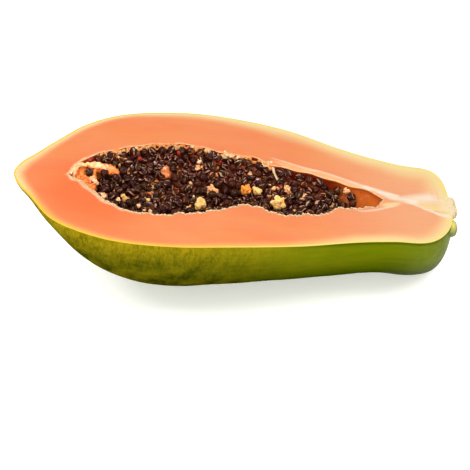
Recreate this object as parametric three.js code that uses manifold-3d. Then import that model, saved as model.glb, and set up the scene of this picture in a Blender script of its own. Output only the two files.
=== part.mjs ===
// Papaya half, cut lengthwise, lying on its skin with the cut face up.
// Millimetres, +Z up. +X points to the stem end, -Y is the near side, and the floor is Z = 0.
//
// The fruit is first shaped in the frame of its cut face: "along" runs from the blossom tip to
// the stem end, "across" runs over the cut face, and "depth" is measured down from the cut face.
// It is then tipped by restTilt, because it rests on its belly and on the thinner stem shoulder.

import * as THREE from 'three';
import { mergeVertices } from 'three/addons/utils/BufferGeometryUtils.js';
import Module from 'manifold-3d';

const wasm = await Module();
wasm.setup();

// ---------------------------------------------------------------- driving dimensions

const tipEnd = -151;              // blossom tip, along
const stemEnd = 151;              // end of the stem shoulder, along
const tipRounding = 7;            // length over which the blossom tip closes
const stemRounding = 24;          // length over which the cut face closes at the stem
const stemUnderRounding = 18;     // and the skin under it
const shoulderSquareness = 3.2;   // 2 closes the shoulder in a true round, more in a fuller one
const shoulderBulge = 6.5;        // how far the shoulder stands out under the cut face
const shoulderStart = 115;        // where that bulge begins, along

// along, half width of the cut face, shift of its middle line across, depth of the fruit
const fruitStations = [
  [-151, 9, 3, 4],
  [-140, 22, 2, 9],
  [-125, 43, 0, 20],
  [-105, 61, 5, 46],
  [-80, 73, 9, 64],
  [-45, 78, 12, 74],
  [-10, 76.6, 13.6, 72],
  [40, 67.8, 10.8, 65],
  [80, 53.7, 4.7, 58],
  [105, 47.2, 1.2, 54],
  [128, 43.5, -1, 54],
  [151, 36.5, 6.8, 54],
];

// along, near edge across, far edge across, depth of the seed cavity
const cavityStations = [
  [-114, 5, 7, 2],
  [-106, -2, 22, 9],
  [-95, -14, 32, 19],
  [-80, -28, 40, 31],
  [-57, -33, 48, 37],
  [-32, -29, 51, 38],
  [-14, -24, 46, 36],
  [2, -17, 42, 33],
  [14, -17, 41, 31],
  [26, -24, 34, 28],
  [44, -23, 29, 25],
  [60, -20, 24, 21],
  [70, -13, 19.5, 17],
  [85, -11.5, 13.5, 11],
  [95, -8.5, 9.5, 6],
  [103, 0, 2, 2],
];

const restTilt = THREE.MathUtils.degToRad(7);   // how far the stem end dips
const restHeight = 69.2;          // cut face above the floor, where "along" is 0

const stemScarRadius = 11.5;      // stub left of the fruit's stalk
const stemScarReach = 4;          // how far it stands out of the shoulder
const stemScarAcross = 0.5;       // its middle, across
const stemKnob = { along: 148, across: -14, depth: 8, radius: 7 };

const rimWave = 1.1;              // how far the cavity's torn rim wanders in and out
const pieceGap = 0.35;            // between the fruit and what lies in its cavity

const seedLength = 6.2;
const seedWidth = 5.6;
const seedSpacing = 5.9;          // least distance between the middles of two seeds
const seedTries = 12000;
const wallClearance = 2.8;        // least distance from a seed's middle to the cavity's wall
const seedRange = [-104, 77];     // the seeds lie between these two places, along
const seedLift = [1.1, 1.9];      // middles of the seeds above their bed
const seedLeastDepth = 3.1;       // and at least this far under the cut face
const seedBedRimDrop = 3.8;       // seed bed under the cut face at the cavity's edge
const seedBedHollow = 0.46;       // and how far it sinks in the middle, as a share of the depth
const seedBedFall = [66, 84];     // toward the stem the bed runs out between these two places
const seedBedFallDepth = 16;

// Lumps of yellow pulp among the seeds: along, across, radius
const pulpLumps = [
  [-75, 9, 3.7],
  [-60, 11, 3.9],
  [-22, 12, 4.2],
  [-14, 23, 4.4],
  [12, 24, 3.9],
  [33, 9, 5.0],
  [40, 19, 3.9],
  [49, 11, 3.5],
  [76, 9, 3.2],
];

const flesh = new THREE.MeshStandardMaterial({ color: '#fb9560', roughness: 0.55, metalness: 0 });
const seedSkin = new THREE.MeshStandardMaterial({ color: '#30231d', roughness: 0.3, metalness: 0 });

// ---------------------------------------------------------------- shape functions

// A smooth curve through one column of a table of stations.
function column(stations, index) {
  const last = stations.length - 1;
  const slope = (i) => {
    const before = stations[Math.max(i - 1, 0)];
    const after = stations[Math.min(i + 1, last)];
    return (after[index] - before[index]) / (after[0] - before[0]);
  };
  return (along) => {
    let i = 0;
    while (i < last - 1 && along > stations[i + 1][0]) i += 1;
    const span = stations[i + 1][0] - stations[i][0];
    const t = THREE.MathUtils.clamp((along - stations[i][0]) / span, 0, 1);
    const keepStart = 2 * t ** 3 - 3 * t ** 2 + 1;
    const leaveStart = t ** 3 - 2 * t ** 2 + t;
    const reachEnd = t ** 3 - t ** 2;
    return keepStart * stations[i][index] + leaveStart * span * slope(i)
      + (1 - keepStart) * stations[i + 1][index] + reachEnd * span * slope(i + 1);
  };
}

const fruitHalfWidth = column(fruitStations, 1);
const fruitShift = column(fruitStations, 2);
const fruitDepth = column(fruitStations, 3);
const cavityNearEdge = column(cavityStations, 1);
const cavityFarEdge = column(cavityStations, 2);
const cavityDepth = column(cavityStations, 3);

// 1 over the length of the fruit, falling to 0 at both ends.
function endRounding(along, stemLength) {
  const tip = 1 - THREE.MathUtils.clamp((along - tipEnd) / tipRounding, 0, 1);
  const stem = 1 - THREE.MathUtils.clamp((stemEnd - along) / stemLength, 0, 1);
  return Math.sqrt(1 - tip ** 2)
    * (1 - stem ** shoulderSquareness) ** (1 / shoulderSquareness);
}

// The cavity at one place: its middle, its half width and its depth, drawn in by a margin.
function cavityAt(along, margin = 0) {
  const near = cavityNearEdge(along) + rimWave * Math.sin(along / 2.3) * Math.sin(along / 7.1 + 1);
  const far = cavityFarEdge(along) + 0.6 * rimWave * Math.sin(along / 2.9 + 2);
  return {
    middle: (near + far) / 2,
    halfWidth: Math.max((far - near) / 2 - margin, 0.2),
    depth: Math.max(cavityDepth(along) - margin, 0.2),
  };
}

// Depth of the seed bed under the cut face; side is -1 at the near edge and 1 at the far edge.
function seedBedDepth(along, side) {
  const hollow = seedBedHollow * cavityDepth(along) * (1 - Math.min(side * side, 1));
  const fall = THREE.MathUtils.smoothstep(along, ...seedBedFall);
  return seedBedRimDrop + hollow + seedBedFallDepth * fall;
}

// ---------------------------------------------------------------- solids

// A closed geometry through rings of equal length, with a fan of triangles over each end.
function loft(rings) {
  const count = rings[0].length;
  const positions = rings.flat();
  const faces = [];
  for (let i = 0; i < rings.length - 1; i += 1) {
    for (let j = 0; j < count; j += 1) {
      const a = i * count + j;
      const b = i * count + (j + 1) % count;
      faces.push(a, b, b + count, a, b + count, a + count);
    }
  }
  const lastRing = (rings.length - 1) * count;
  for (let j = 1; j < count - 1; j += 1) {
    faces.push(0, j + 1, j, lastRing, lastRing + j, lastRing + j + 1);
  }
  const geometry = new THREE.BufferGeometry();
  geometry.setAttribute('position', new THREE.Float32BufferAttribute(positions.flat(), 3));
  geometry.setIndex(faces);
  return geometry;
}

function solid(geometry) {
  const plain = geometry.clone();
  plain.deleteAttribute('normal');
  plain.deleteAttribute('uv');
  const merged = mergeVertices(plain);
  return new wasm.Manifold(new wasm.Mesh({
    numProp: 3,
    vertProperties: new Float32Array(merged.getAttribute('position').array),
    triVerts: new Uint32Array(merged.getIndex().array),
  }));
}

function geometryOf(body) {
  const mesh = body.getMesh();
  const geometry = new THREE.BufferGeometry();
  geometry.setAttribute('position', new THREE.Float32BufferAttribute(mesh.vertProperties, 3));
  geometry.setIndex(new THREE.Uint32BufferAttribute(mesh.triVerts, 1));
  return geometry;
}

// Places from first to last, about a step apart and closer together toward both ends.
function places(first, last, step) {
  const count = Math.ceil((last - first) / step);
  return Array.from({ length: count + 1 }, (unused, i) => {
    const even = i / count;
    const eased = 0.5 - 0.5 * Math.cos(Math.PI * even);
    return THREE.MathUtils.lerp(first, last, 0.6 * even + 0.4 * eased);
  });
}

function fruitSolid() {
  const sides = 24;
  const rings = places(tipEnd + 0.2, stemEnd - 0.2, 9).map((along) => {
    const halfWidth = fruitHalfWidth(along) * endRounding(along, stemRounding);
    const depth = fruitDepth(along) * endRounding(along, stemUnderRounding);
    const bulge = shoulderBulge * THREE.MathUtils.smoothstep(along, shoulderStart, stemEnd);
    return Array.from({ length: sides + 1 }, (unused, j) => {
      const angle = Math.PI * j / sides;
      const across = fruitShift(along) - halfWidth * Math.cos(angle);
      return [along + bulge * Math.sin(angle), across, -depth * Math.sin(angle)];
    });
  });
  return solid(loft(rings));
}

// The cavity's room, from its floor up to a height over the cut face, drawn in by a margin.
function cavitySolid({ margin, top, sides }) {
  const first = cavityStations[0][0];
  const last = cavityStations[cavityStations.length - 1][0];
  const rings = places(first, last, 4).map((along) => {
    const { middle, halfWidth, depth } = cavityAt(along, margin);
    const floor = Array.from({ length: sides + 1 }, (unused, j) => {
      const angle = Math.PI * j / sides;
      return [along, middle - halfWidth * Math.cos(angle), -depth * Math.sin(angle)];
    });
    return [...floor, [along, middle + halfWidth, top], [along, middle - halfWidth, top]];
  });
  return solid(loft(rings));
}

function stemScarSolid() {
  const stub = new THREE.CylinderGeometry(
    0.8 * stemScarRadius, stemScarRadius, 2 * stemScarReach, 14, 1);
  stub.rotateZ(-Math.PI / 2);
  stub.translate(stemEnd, stemScarAcross, 0);
  const knob = new THREE.IcosahedronGeometry(stemKnob.radius, 1);
  knob.scale(0.8, 1, 1);
  knob.translate(stemKnob.along, stemKnob.across, -stemKnob.depth);
  return solid(stub).add(solid(knob));
}

function boxSolid(low, high) {
  const box = new THREE.BoxGeometry(high[0] - low[0], high[1] - low[1], high[2] - low[2]);
  box.translate((low[0] + high[0]) / 2, (low[1] + high[1]) / 2, (low[2] + high[2]) / 2);
  return solid(box);
}

// Everything under the seed bed's hollow surface.
function seedBedSolid() {
  const under = -60;
  const reach = 1.3;
  const steps = 6;
  const rings = places(cavityStations[0][0] + 2, seedBedFall[1] + 4, 12).map((along) => {
    const { middle, halfWidth } = cavityAt(along);
    const surface = Array.from({ length: steps + 1 }, (unused, j) => {
      const side = THREE.MathUtils.lerp(reach, -reach, j / steps);
      return [along, middle + side * halfWidth, -seedBedDepth(along, side)];
    });
    return [...surface, [along, middle - reach * halfWidth, under],
      [along, middle + reach * halfWidth, under]];
  });
  return solid(loft(rings));
}

// Repeatable random numbers from 0 to 1.
function randomNumbers(seed) {
  let state = seed;
  return () => {
    state = (Math.imul(state, 1664525) + 1013904223) >>> 0;
    return state / 2 ** 32;
  };
}

// Middles of the seeds: thrown at random over the bed and kept where they have room.
function seedMiddles() {
  const random = randomNumbers(7);
  const middles = [];
  for (let i = 0; i < seedTries; i += 1) {
    const along = THREE.MathUtils.lerp(...seedRange, random());
    const side = THREE.MathUtils.lerp(-1, 1, random());
    const lift = THREE.MathUtils.lerp(...seedLift, random());
    const { middle, halfWidth, depth } = cavityAt(along);
    const seedDepth = Math.max(seedBedDepth(along, side) - lift, seedLeastDepth);
    const place = new THREE.Vector3(along, middle + side * halfWidth, -seedDepth);
    const toWall = 1 - Math.hypot(side, place.z / depth);
    const inRoom = toWall * Math.min(halfWidth, depth) > wallClearance;
    const clear = middles.every((other) => other.distanceTo(place) > seedSpacing)
      && pulpLumps.every(([lumpAlong, lumpAcross, radius]) =>
        Math.hypot(place.x - lumpAlong, place.y - lumpAcross) > radius + 0.2 * seedWidth);
    if (inRoom && clear) middles.push(place);
  }
  return middles;
}

function seedSolid(middle, random) {
  const girth = THREE.MathUtils.lerp(0.92, 1.06, random());
  const seed = new THREE.IcosahedronGeometry(seedWidth / 2);
  seed.scale(seedLength / seedWidth, girth, girth);
  seed.rotateX(Math.PI * random());
  seed.rotateY(Math.PI * random());
  seed.rotateZ(Math.PI * random());
  seed.translate(middle.x, middle.y, middle.z);
  return solid(seed);
}

function pulpSolid([along, across, radius], random) {
  const { middle, halfWidth } = cavityAt(along);
  const bedDepth = seedBedDepth(along, (across - middle) / halfWidth);
  const lump = new THREE.OctahedronGeometry(radius, 1);
  lump.scale(1.1, THREE.MathUtils.lerp(0.9, 1.1, random()), 0.8);
  lump.rotateZ(Math.PI * random());
  lump.translate(along, across, 0.3 * radius - bedDepth);
  return solid(lump);
}

// The largest piece of a body that a cut may have left in several.
function mainPiece(body) {
  return body.decompose().reduce((best, piece) => (piece.volume() > best.volume() ? piece : best));
}

// ---------------------------------------------------------------- the two pieces

const big = 200;
const underCut = boxSolid([-big, -big, -big], [big, big, 0]);
const restPose = new THREE.Matrix4().makeRotationY(restTilt)
  .premultiply(new THREE.Matrix4().makeTranslation(0, 0, restHeight));

const cavity = cavitySolid({ margin: 0, top: 5, sides: 10 });
const fruit = mainPiece(
  fruitSolid().add(stemScarSolid()).intersect(underCut).subtract(cavity));
const restingFruit = solid(geometryOf(fruit).applyMatrix4(restPose))
  .intersect(boxSolid([-big, -big, 0], [big, big, big]));

const random = randomNumbers(3);
const seeds = seedMiddles().map((middle) => seedSolid(middle, random));
const lumps = pulpLumps.map((lump) => pulpSolid(lump, random));
const seedRoom = cavitySolid({ margin: pieceGap, top: -0.2, sides: 5 });
const seedBed = seedRoom.intersect(seedBedSolid());
const seedMass = mainPiece(
  wasm.Manifold.union([seedBed, ...seeds, ...lumps]).intersect(seedRoom));

const papayaHalf = new THREE.Mesh(geometryOf(restingFruit), flesh);
papayaHalf.name = 'papaya_half';

const seedNode = new THREE.Mesh(geometryOf(seedMass).applyMatrix4(restPose), seedSkin);
seedNode.name = 'seed_mass';

// The origin is the middle of the fruit's outline on the floor.
const outline = new THREE.Box3().setFromObject(papayaHalf);
const group = new THREE.Group();
group.add(papayaHalf, seedNode);
group.position.set(-(outline.min.x + outline.max.x) / 2, -(outline.min.y + outline.max.y) / 2, 0);

export default group;
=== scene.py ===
"""Papaya half, cut lengthwise: its flesh, skin, wet seeds and pulp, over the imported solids.

Places are first worked out in the frame of the cut face, in millimetres: "along" runs from the
blossom tip to the stem end, "across" runs over the cut face, and "rise" is the height above it.
They are then tipped into the frame's own axes, in metres.
"""

import math

import bpy
import numpy as np
from bpy.props import FloatProperty, FloatVectorProperty, IntProperty, PointerProperty
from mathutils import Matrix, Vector, noise


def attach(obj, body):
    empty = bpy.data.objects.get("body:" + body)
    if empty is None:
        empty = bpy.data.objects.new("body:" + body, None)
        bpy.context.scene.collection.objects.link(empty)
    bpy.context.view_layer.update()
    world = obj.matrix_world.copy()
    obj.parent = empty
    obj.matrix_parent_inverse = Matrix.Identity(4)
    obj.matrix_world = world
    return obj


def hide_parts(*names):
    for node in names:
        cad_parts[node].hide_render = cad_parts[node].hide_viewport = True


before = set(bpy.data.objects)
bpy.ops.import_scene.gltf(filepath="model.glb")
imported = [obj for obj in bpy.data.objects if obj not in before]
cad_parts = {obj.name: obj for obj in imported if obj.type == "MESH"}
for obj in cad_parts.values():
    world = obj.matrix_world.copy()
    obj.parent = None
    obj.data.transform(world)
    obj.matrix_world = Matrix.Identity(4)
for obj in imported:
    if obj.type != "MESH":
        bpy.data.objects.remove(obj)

bl_info = {
    "name": "Papaya half",
    "version": (1, 0, 0),
    "blender": (4, 5, 0),
    "location": "View3D > Sidebar > Papaya",
    "description": "Dresses the papaya half with flesh, skin, wet seeds and pulp",
    "category": "Object",
}

MM = 0.001
BODY = "root"

# ------------------------------------------------------------------ the fruit's driving sizes

TIP_END = -151.0
STEM_END = 151.0
TIP_ROUNDING = 7.0
STEM_ROUNDING = 24.0
STEM_UNDER_ROUNDING = 18.0
SHOULDER_SQUARENESS = 3.2
SHOULDER_BULGE = 6.5
SHOULDER_START = 115.0
CAP_START = 150.8          # from here the shoulder's bulge closes onto the stem

# along, half width of the cut face, shift of its middle line across, depth of the fruit
FRUIT_STATIONS = [
    (-151, 9, 3, 4),
    (-140, 22, 2, 9),
    (-125, 43, 0, 20),
    (-105, 61, 5, 46),
    (-80, 73, 9, 64),
    (-45, 78, 12, 74),
    (-10, 76.6, 13.6, 72),
    (40, 67.8, 10.8, 65),
    (80, 53.7, 4.7, 58),
    (105, 47.2, 1.2, 54),
    (128, 43.5, -1, 54),
    (151, 36.5, 6.8, 54),
]

# along, near edge across, far edge across, depth of the seed cavity
CAVITY_STATIONS = [
    (-114, 5, 7, 2),
    (-106, -2, 22, 9),
    (-95, -14, 32, 19),
    (-80, -28, 40, 31),
    (-57, -33, 48, 37),
    (-32, -29, 51, 38),
    (-14, -24, 46, 36),
    (2, -17, 42, 33),
    (14, -17, 41, 31),
    (26, -24, 34, 28),
    (44, -23, 29, 25),
    (60, -20, 24, 21),
    (70, -13, 19.5, 17),
    (85, -11.5, 13.5, 11),
    (95, -8.5, 9.5, 6),
    (103, 0, 2, 2),
]
RIM_TIP = CAVITY_STATIONS[0][0]
RIM_STEM = CAVITY_STATIONS[-1][0]
RIM_CLOSING = 4.0          # length over which the rim closes at both ends
RIM_WAVE = 1.1

REST_TILT = math.radians(7)
REST_HEIGHT = 69.2
SHIFT_ALONG = -2.03        # from the cut frame's middle to the middle of the fruit's outline
SHIFT_ACROSS = -12.56

SEED_BED_RIM_DROP = 3.8
SEED_BED_HOLLOW = 0.46
SEED_BED_FALL = (66, 84)
SEED_BED_FALL_DEPTH = 16.0
SEED_RANGE = (-104, 77)
SEED_LEAST_DEPTH = 3.1

# lumps of pulp among the seeds: along, across, radius
YELLOW_LUMPS = [
    (-75, 6, 3.2),
    (-60.5, 6, 3.0),
    (-55, 22, 1.8),
    (-30.5, 2, 1.8),
    (-22.6, 4.5, 4.6),
    (17.5, 20.5, 3.6),
    (31.6, 6.5, 5.2),
]
ORANGE_LUMPS = [
    (-24, 39, 2.0),
    (-14.8, 20.7, 4.4),
    (39.7, 18.5, 3.4),
    (49.4, 12.6, 2.9),
    (68.7, 5.7, 2.4),
]
BRIGHT_LUMPS = [
    (9.8, 21.8, 4.0),
]
PALE_LUMPS = [
    (-89, 1, 2.0),
    (-23.3, 42.7, 1.9),
    (58.4, 1.1, 2.4),
    (73.5, 9.5, 2.4),
]

# clumps of pulp that stick to the hollow's far edge: along, across, rise, radius
EDGE_CLUMPS = [
    (-80, 37.5, -2.0, 1.7),
    (-69, 42.5, -1.9, 2.2),
    (-40, 48.5, -1.9, 1.9),
    (-29, 49, -1.7, 2.0),
    (-18, 45.5, -2.0, 2.5),
    (-5.5, 42.5, -1.7, 3.0),
    (-1.5, 41.5, -1.9, 2.8),
    (3.5, 40.5, -2.0, 1.9),
    (20.5, 36, -1.9, 2.0),
    (24, 34.5, -1.9, 2.7),
]

# pale ridge in the tip of the hollow: along, across, rise, radius
POCKET_RIDGE = [
    (-112.6, 8.0, -0.9, 0.9),
    (-110.6, 14.6, -1.0, 1.1),
    (-106.5, 19.6, -1.3, 1.4),
    (-100.7, 21.2, -2.4, 1.6),
    (-94.0, 21.0, -3.4, 2.1),
    (-87.4, 20.0, -4.6, 2.2),
    (-81.5, 19.6, -6.0, 1.7),
]

# lumps of pulp against the hollow's wall and in its tip: along, across, rise, radius
WALL_LUMPS = [
    (79.6, 14.6, -5.2, 2.7),
    (-98.0, 6.4, -4.0, 2.6),
    (-95.6, 3.6, -4.4, 2.0),
    (-90.2, -13.6, -2.6, 2.4),
    (-80.2, -15.2, -3.2, 1.5),
    (-66.3, -21.4, -3.2, 1.4),
    (-62.6, -27.2, -2.0, 1.3),
    (-59.2, -27.8, -2.0, 1.3),
]

# beads of red juice by the far edge: along, across, rise, radius
JUICE_BEADS = [
    (-100.3, 27.0, -2.9, 2.6),
    (-63.0, 43.5, -5.0, 2.3),
    (-66.0, 38.0, -6.5, 1.8),
    (-38.0, 46.5, -5.0, 2.0),
    (-18.0, 44.0, -5.5, 1.8),
    (-79.0, 41.5, -4.0, 1.3),
    (-49.0, 46.5, -4.2, 1.4),
    (-9.0, 40.0, -5.0, 1.5),
    (-90.5, 35.0, -3.4, 1.2),
]

# the strand of pulp that hangs from the far edge onto the seeds: along, across, rise, radius
HANGING_STRAND = [
    (26.8, 36.2, -1.2, 1.8),
    (27.6, 34.4, -2.2, 1.5),
    (28.4, 32.6, -3.2, 1.2),
    (29.0, 29.8, -4.4, 1.0),
    (29.6, 27.2, -5.4, 1.3),
    (31.4, 25.0, -6.8, 0.7),
]

STUDIO_LEVEL = 2.0         # light that falls on a level surface, against one that just shows white
HOLLOW_LEVEL = 1.25        # and on what lies among the seeds
FLOOR_GLOW = 0.27          # the floor is a light table, lit a little from under


def colour(code, level=STUDIO_LEVEL):
    """The red, green and blue of a surface that shows a hex colour under a level of light."""
    levels = [int(code[i:i + 2], 16) / 255 for i in (1, 3, 5)]
    linear = [x / 12.92 if x <= 0.04045 else ((x + 0.055) / 1.055) ** 2.4 for x in levels]
    return tuple(x / level for x in linear)


def length_setting(name, description, default):
    return FloatProperty(name=name, description=description, default=default, min=0,
                         subtype="DISTANCE", unit="LENGTH", precision=5)


def colour_setting(name, description, code):
    return FloatVectorProperty(name=name, description=description, default=colour(code),
                               size=3, min=0, max=1, subtype="COLOR")


class PapayaSizes(bpy.types.PropertyGroup):
    """Sizes of what is made here."""

    skin_thickness: length_setting("Skin thickness", "Thickness of the rind's outer layer", 0.0009)
    seed_length: length_setting("Seed length", "Length of a seed in its sac", 0.0067)
    seed_width: length_setting("Seed width", "Width of a seed in its sac", 0.0061)
    seeds_on_top: IntProperty(
        name="Seeds on top", description="Seeds thrown on the layer that fills the hollow",
        default=70, min=0)
    lining_width: length_setting("Lining width", "Width of the pale lining round the hollow", 0.0013)
    floor_width: length_setting("Floor width", "Width of the floor", 6.0)


class PapayaColours(bpy.types.PropertyGroup):
    """Colours of the papaya."""

    flesh: colour_setting("Flesh", "Most of the cut flesh", "#fb9a5e")
    flesh_deep: colour_setting("Deep flesh", "Riper, redder flesh at the tip's side", "#fb8343")
    flesh_pale: colour_setting("Pale flesh", "Flesh near the stem", "#fbb483")
    vein: colour_setting("Veins", "Pale strands that run to the stem", "#fdeedc")
    skin_green: colour_setting("Green skin", "Skin toward the stem", "#748007")
    skin_ochre: colour_setting("Ochre skin", "Skin toward the blossom tip", "#a08a18")
    seed_dark: colour_setting("Dark seeds", "Most of the seeds", "#3e130b")
    seed_brown: colour_setting("Brown seeds", "Lighter seeds", "#56220f")
    pulp: colour_setting("Pulp", "Lumps of pulp among the seeds", "#fcd488")
    juice: colour_setting("Juice", "Beads of red juice", "#d42c08")


# ------------------------------------------------------------------ shape of the fruit


def smoothstep(value, start, end):
    t = np.clip((value - start) / (end - start), 0, 1)
    return t * t * (3 - 2 * t)


def curve_through(stations, column):
    """A smooth curve through one column of a table of stations."""
    places = np.array([row[0] for row in stations], float)
    values = np.array([row[column] for row in stations], float)
    last = len(places) - 1
    before = np.maximum(np.arange(last + 1) - 1, 0)
    after = np.minimum(np.arange(last + 1) + 1, last)
    slopes = (values[after] - values[before]) / (places[after] - places[before])

    def curve(along):
        i = np.clip(np.searchsorted(places, along) - 1, 0, last - 1)
        span = places[i + 1] - places[i]
        t = np.clip((along - places[i]) / span, 0, 1)
        keep_start = 2 * t**3 - 3 * t**2 + 1
        leave_start = t**3 - 2 * t**2 + t
        reach_end = t**3 - t**2
        return (keep_start * values[i] + leave_start * span * slopes[i]
                + (1 - keep_start) * values[i + 1] + reach_end * span * slopes[i + 1])

    return curve


fruit_half_width = curve_through(FRUIT_STATIONS, 1)
fruit_shift = curve_through(FRUIT_STATIONS, 2)
fruit_depth = curve_through(FRUIT_STATIONS, 3)
cavity_near_edge = curve_through(CAVITY_STATIONS, 1)
cavity_far_edge = curve_through(CAVITY_STATIONS, 2)
cavity_depth = curve_through(CAVITY_STATIONS, 3)


def to_part(places):
    """Places in the cut frame, in millimetres, as places in the part's frame, in metres."""
    along, across, rise = np.asarray(places, float).T
    x = along * math.cos(REST_TILT) + rise * math.sin(REST_TILT) + SHIFT_ALONG
    z = -along * math.sin(REST_TILT) + rise * math.cos(REST_TILT) + REST_HEIGHT
    return np.column_stack([x, across + SHIFT_ACROSS, np.maximum(z, 0)]) * MM


def end_rounding(along, stem_length):
    """1 over the length of the fruit, falling to 0 at both ends."""
    tip = 1 - np.clip((along - TIP_END) / TIP_ROUNDING, 0, 1)
    stem = 1 - np.clip((STEM_END - along) / stem_length, 0, 1)
    rounded_stem = (1 - stem**SHOULDER_SQUARENESS) ** (1 / SHOULDER_SQUARENESS)
    return np.sqrt(1 - tip**2) * rounded_stem


def fruit_place(along, angle, inset=0.0):
    """The fruit's outside; angle runs from the near cut edge, under the fruit, to the far one."""
    width_end = end_rounding(along, STEM_ROUNDING)
    depth_end = end_rounding(along, STEM_UNDER_ROUNDING)
    ribs = 0.35 * np.sin(3 * angle + along / 37) + 0.25 * np.sin(5 * angle - along / 23 + 1)
    dents = 0.2 * np.sin(along / 11 + 2 * angle) + 0.12 * np.sin(along / 5.3 - 7 * angle)
    swell = (ribs + dents) * np.sin(angle)
    half_width = (fruit_half_width(along) + swell) * width_end
    depth = (fruit_depth(along) + swell) * depth_end
    half_width = half_width * (1 - inset / fruit_half_width(along))
    depth = depth * (1 - inset / fruit_depth(along))
    cap = np.minimum(depth_end / end_rounding(CAP_START, STEM_UNDER_ROUNDING), 1)
    bulge = SHOULDER_BULGE * smoothstep(along, SHOULDER_START, STEM_END) * cap
    return np.column_stack([
        (along + bulge * np.sin(angle)) * (1 - inset / STEM_END),
        fruit_shift(along) - half_width * np.cos(angle),
        -depth * np.sin(angle)])


def cavity_at(along):
    """The hollow at one place: its middle, its half width and its depth."""
    tear = (0.3 * np.sin(1.7 * along + 2 * np.sin(0.31 * along))
            + 0.2 * np.sin(2.9 * along + 1.3 * np.sin(0.53 * along) + 1))
    tear = tear * (0.3 + smoothstep(along, -75, -30))
    near = (cavity_near_edge(along) + tear
            + RIM_WAVE * np.sin(along / 2.3) * np.sin(along / 7.1 + 1))
    far = cavity_far_edge(along) + 0.6 * RIM_WAVE * np.sin(along / 2.9 + 2)
    closing = np.minimum((along - RIM_TIP) / RIM_CLOSING, (RIM_STEM - along) / RIM_CLOSING)
    rounding = np.sqrt(1 - (1 - np.clip(closing, 0, 1)) ** 2)
    return (near + far) / 2, (far - near) / 2 * rounding, cavity_depth(along) * rounding


def lip(along, far_side):
    """How far the flesh rounds down at the hollow's rim, and over what width."""
    open_side = far_side * smoothstep(along, 14, 40) * (1 - smoothstep(along, 86, 98))
    return 0.6 + 0.5 * open_side, 1.8 + 2.4 * open_side


def rim_place(along, far_side):
    middle, half_width, _ = cavity_at(along)
    side = 2 * far_side - 1
    return np.column_stack([along, middle + side * half_width, -lip(along, far_side)[0]])


def seed_bed_depth(along, side):
    """Depth of the seed bed under the cut face; side is -1 at the near edge, 1 at the far one."""
    hollow = SEED_BED_HOLLOW * cavity_depth(along) * (1 - np.minimum(side * side, 1))
    fall = smoothstep(along, *SEED_BED_FALL)
    return SEED_BED_RIM_DROP + hollow + SEED_BED_FALL_DEPTH * fall


# ------------------------------------------------------------------ making meshes


def ease(t, even):
    """Places from 0 to 1 that lie closer together toward both ends."""
    return even * t + (1 - even) * (0.5 - 0.5 * np.cos(np.pi * t))


def start_afresh():
    bpy.ops.object.select_all(action="DESELECT")


def keep_values(mesh, name, values):
    """Stores one number, or one vector, for each vertex."""
    values = np.asarray(values, np.float32)
    kind, field = ("FLOAT_VECTOR", "vector") if values.ndim == 2 else ("FLOAT", "value")
    attribute = mesh.attributes.get(name) or mesh.attributes.new(name, kind, "POINT")
    attribute.data.foreach_set(field, values.ravel())


def vertex_places(mesh):
    flat = np.empty(len(mesh.vertices) * 3, np.float32)
    mesh.vertices.foreach_get("co", flat)
    return flat.reshape(-1, 3).astype(float)


def move_vertices(mesh, places):
    mesh.vertices.foreach_set("co", np.asarray(places, np.float32).ravel())
    mesh.update()


def vertex_normals(mesh):
    flat = np.empty(len(mesh.vertices) * 3, np.float32)
    mesh.vertices.foreach_get("normal", flat)
    return flat.reshape(-1, 3).astype(float)


def waves(places, size, seed):
    """Soft noise from about -1 to 1 at each place, with waves of about a size."""
    offset = Vector((seed * 17.3, seed * 5.1, seed * 9.7))
    return np.array([noise.noise(Vector(place) / size + offset) for place in places])


def lay_grid(name, columns, rows, surface):
    """A grid of faces laid on a surface. surface(s, t) gives places and values to keep."""
    start_afresh()
    bpy.ops.mesh.primitive_grid_add(x_subdivisions=columns, y_subdivisions=rows, size=1)
    patch = bpy.context.object
    patch.name = name
    s, t = vertex_places(patch.data)[:, :2].T + 0.5
    places, values = surface(np.clip(s, 0, 1), np.clip(t, 0, 1))
    keep_values(patch.data, "cut_place", places * MM)
    for value_name, numbers in values.items():
        keep_values(patch.data, value_name, numbers)
    move_vertices(patch.data, to_part(places))
    return patch


def sew(name, patches, merge=2e-6, crease=50):
    """Joins patches into one closed mesh with its faces pointing out."""
    start_afresh()
    for patch in patches:
        patch.select_set(True)
    bpy.context.view_layer.objects.active = patches[0]
    bpy.ops.object.join()
    piece = bpy.context.object
    piece.name = name
    piece.data.name = name
    bpy.ops.object.mode_set(mode="EDIT")
    bpy.ops.mesh.select_all(action="SELECT")
    bpy.ops.mesh.remove_doubles(threshold=merge)
    bpy.ops.mesh.dissolve_degenerate(threshold=merge / 2)
    bpy.ops.mesh.normals_make_consistent(inside=False)
    bpy.ops.object.mode_set(mode="OBJECT")
    bpy.ops.object.shade_smooth_by_angle(angle=math.radians(crease))
    return piece


def ball(subdivisions):
    """Vertices and faces of a round ball of radius 1."""
    start_afresh()
    bpy.ops.mesh.primitive_ico_sphere_add(subdivisions=subdivisions, radius=1)
    made = bpy.context.object
    places = vertex_places(made.data)
    faces = np.array([polygon.vertices[:] for polygon in made.data.polygons])
    bpy.data.objects.remove(made)
    return places, faces


def random_turns(random, count):
    """Random rotations, as an array of 3 by 3 matrices."""
    q = random.normal(size=(count, 4))
    w, x, y, z = (q / np.linalg.norm(q, axis=1, keepdims=True)).T
    return np.stack([
        np.stack([1 - 2 * (y * y + z * z), 2 * (x * y - z * w), 2 * (x * z + y * w)], -1),
        np.stack([2 * (x * y + z * w), 1 - 2 * (x * x + z * z), 2 * (y * z - x * w)], -1),
        np.stack([2 * (x * z - y * w), 2 * (y * z + x * w), 1 - 2 * (x * x + y * y)], -1)], -2)


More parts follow.
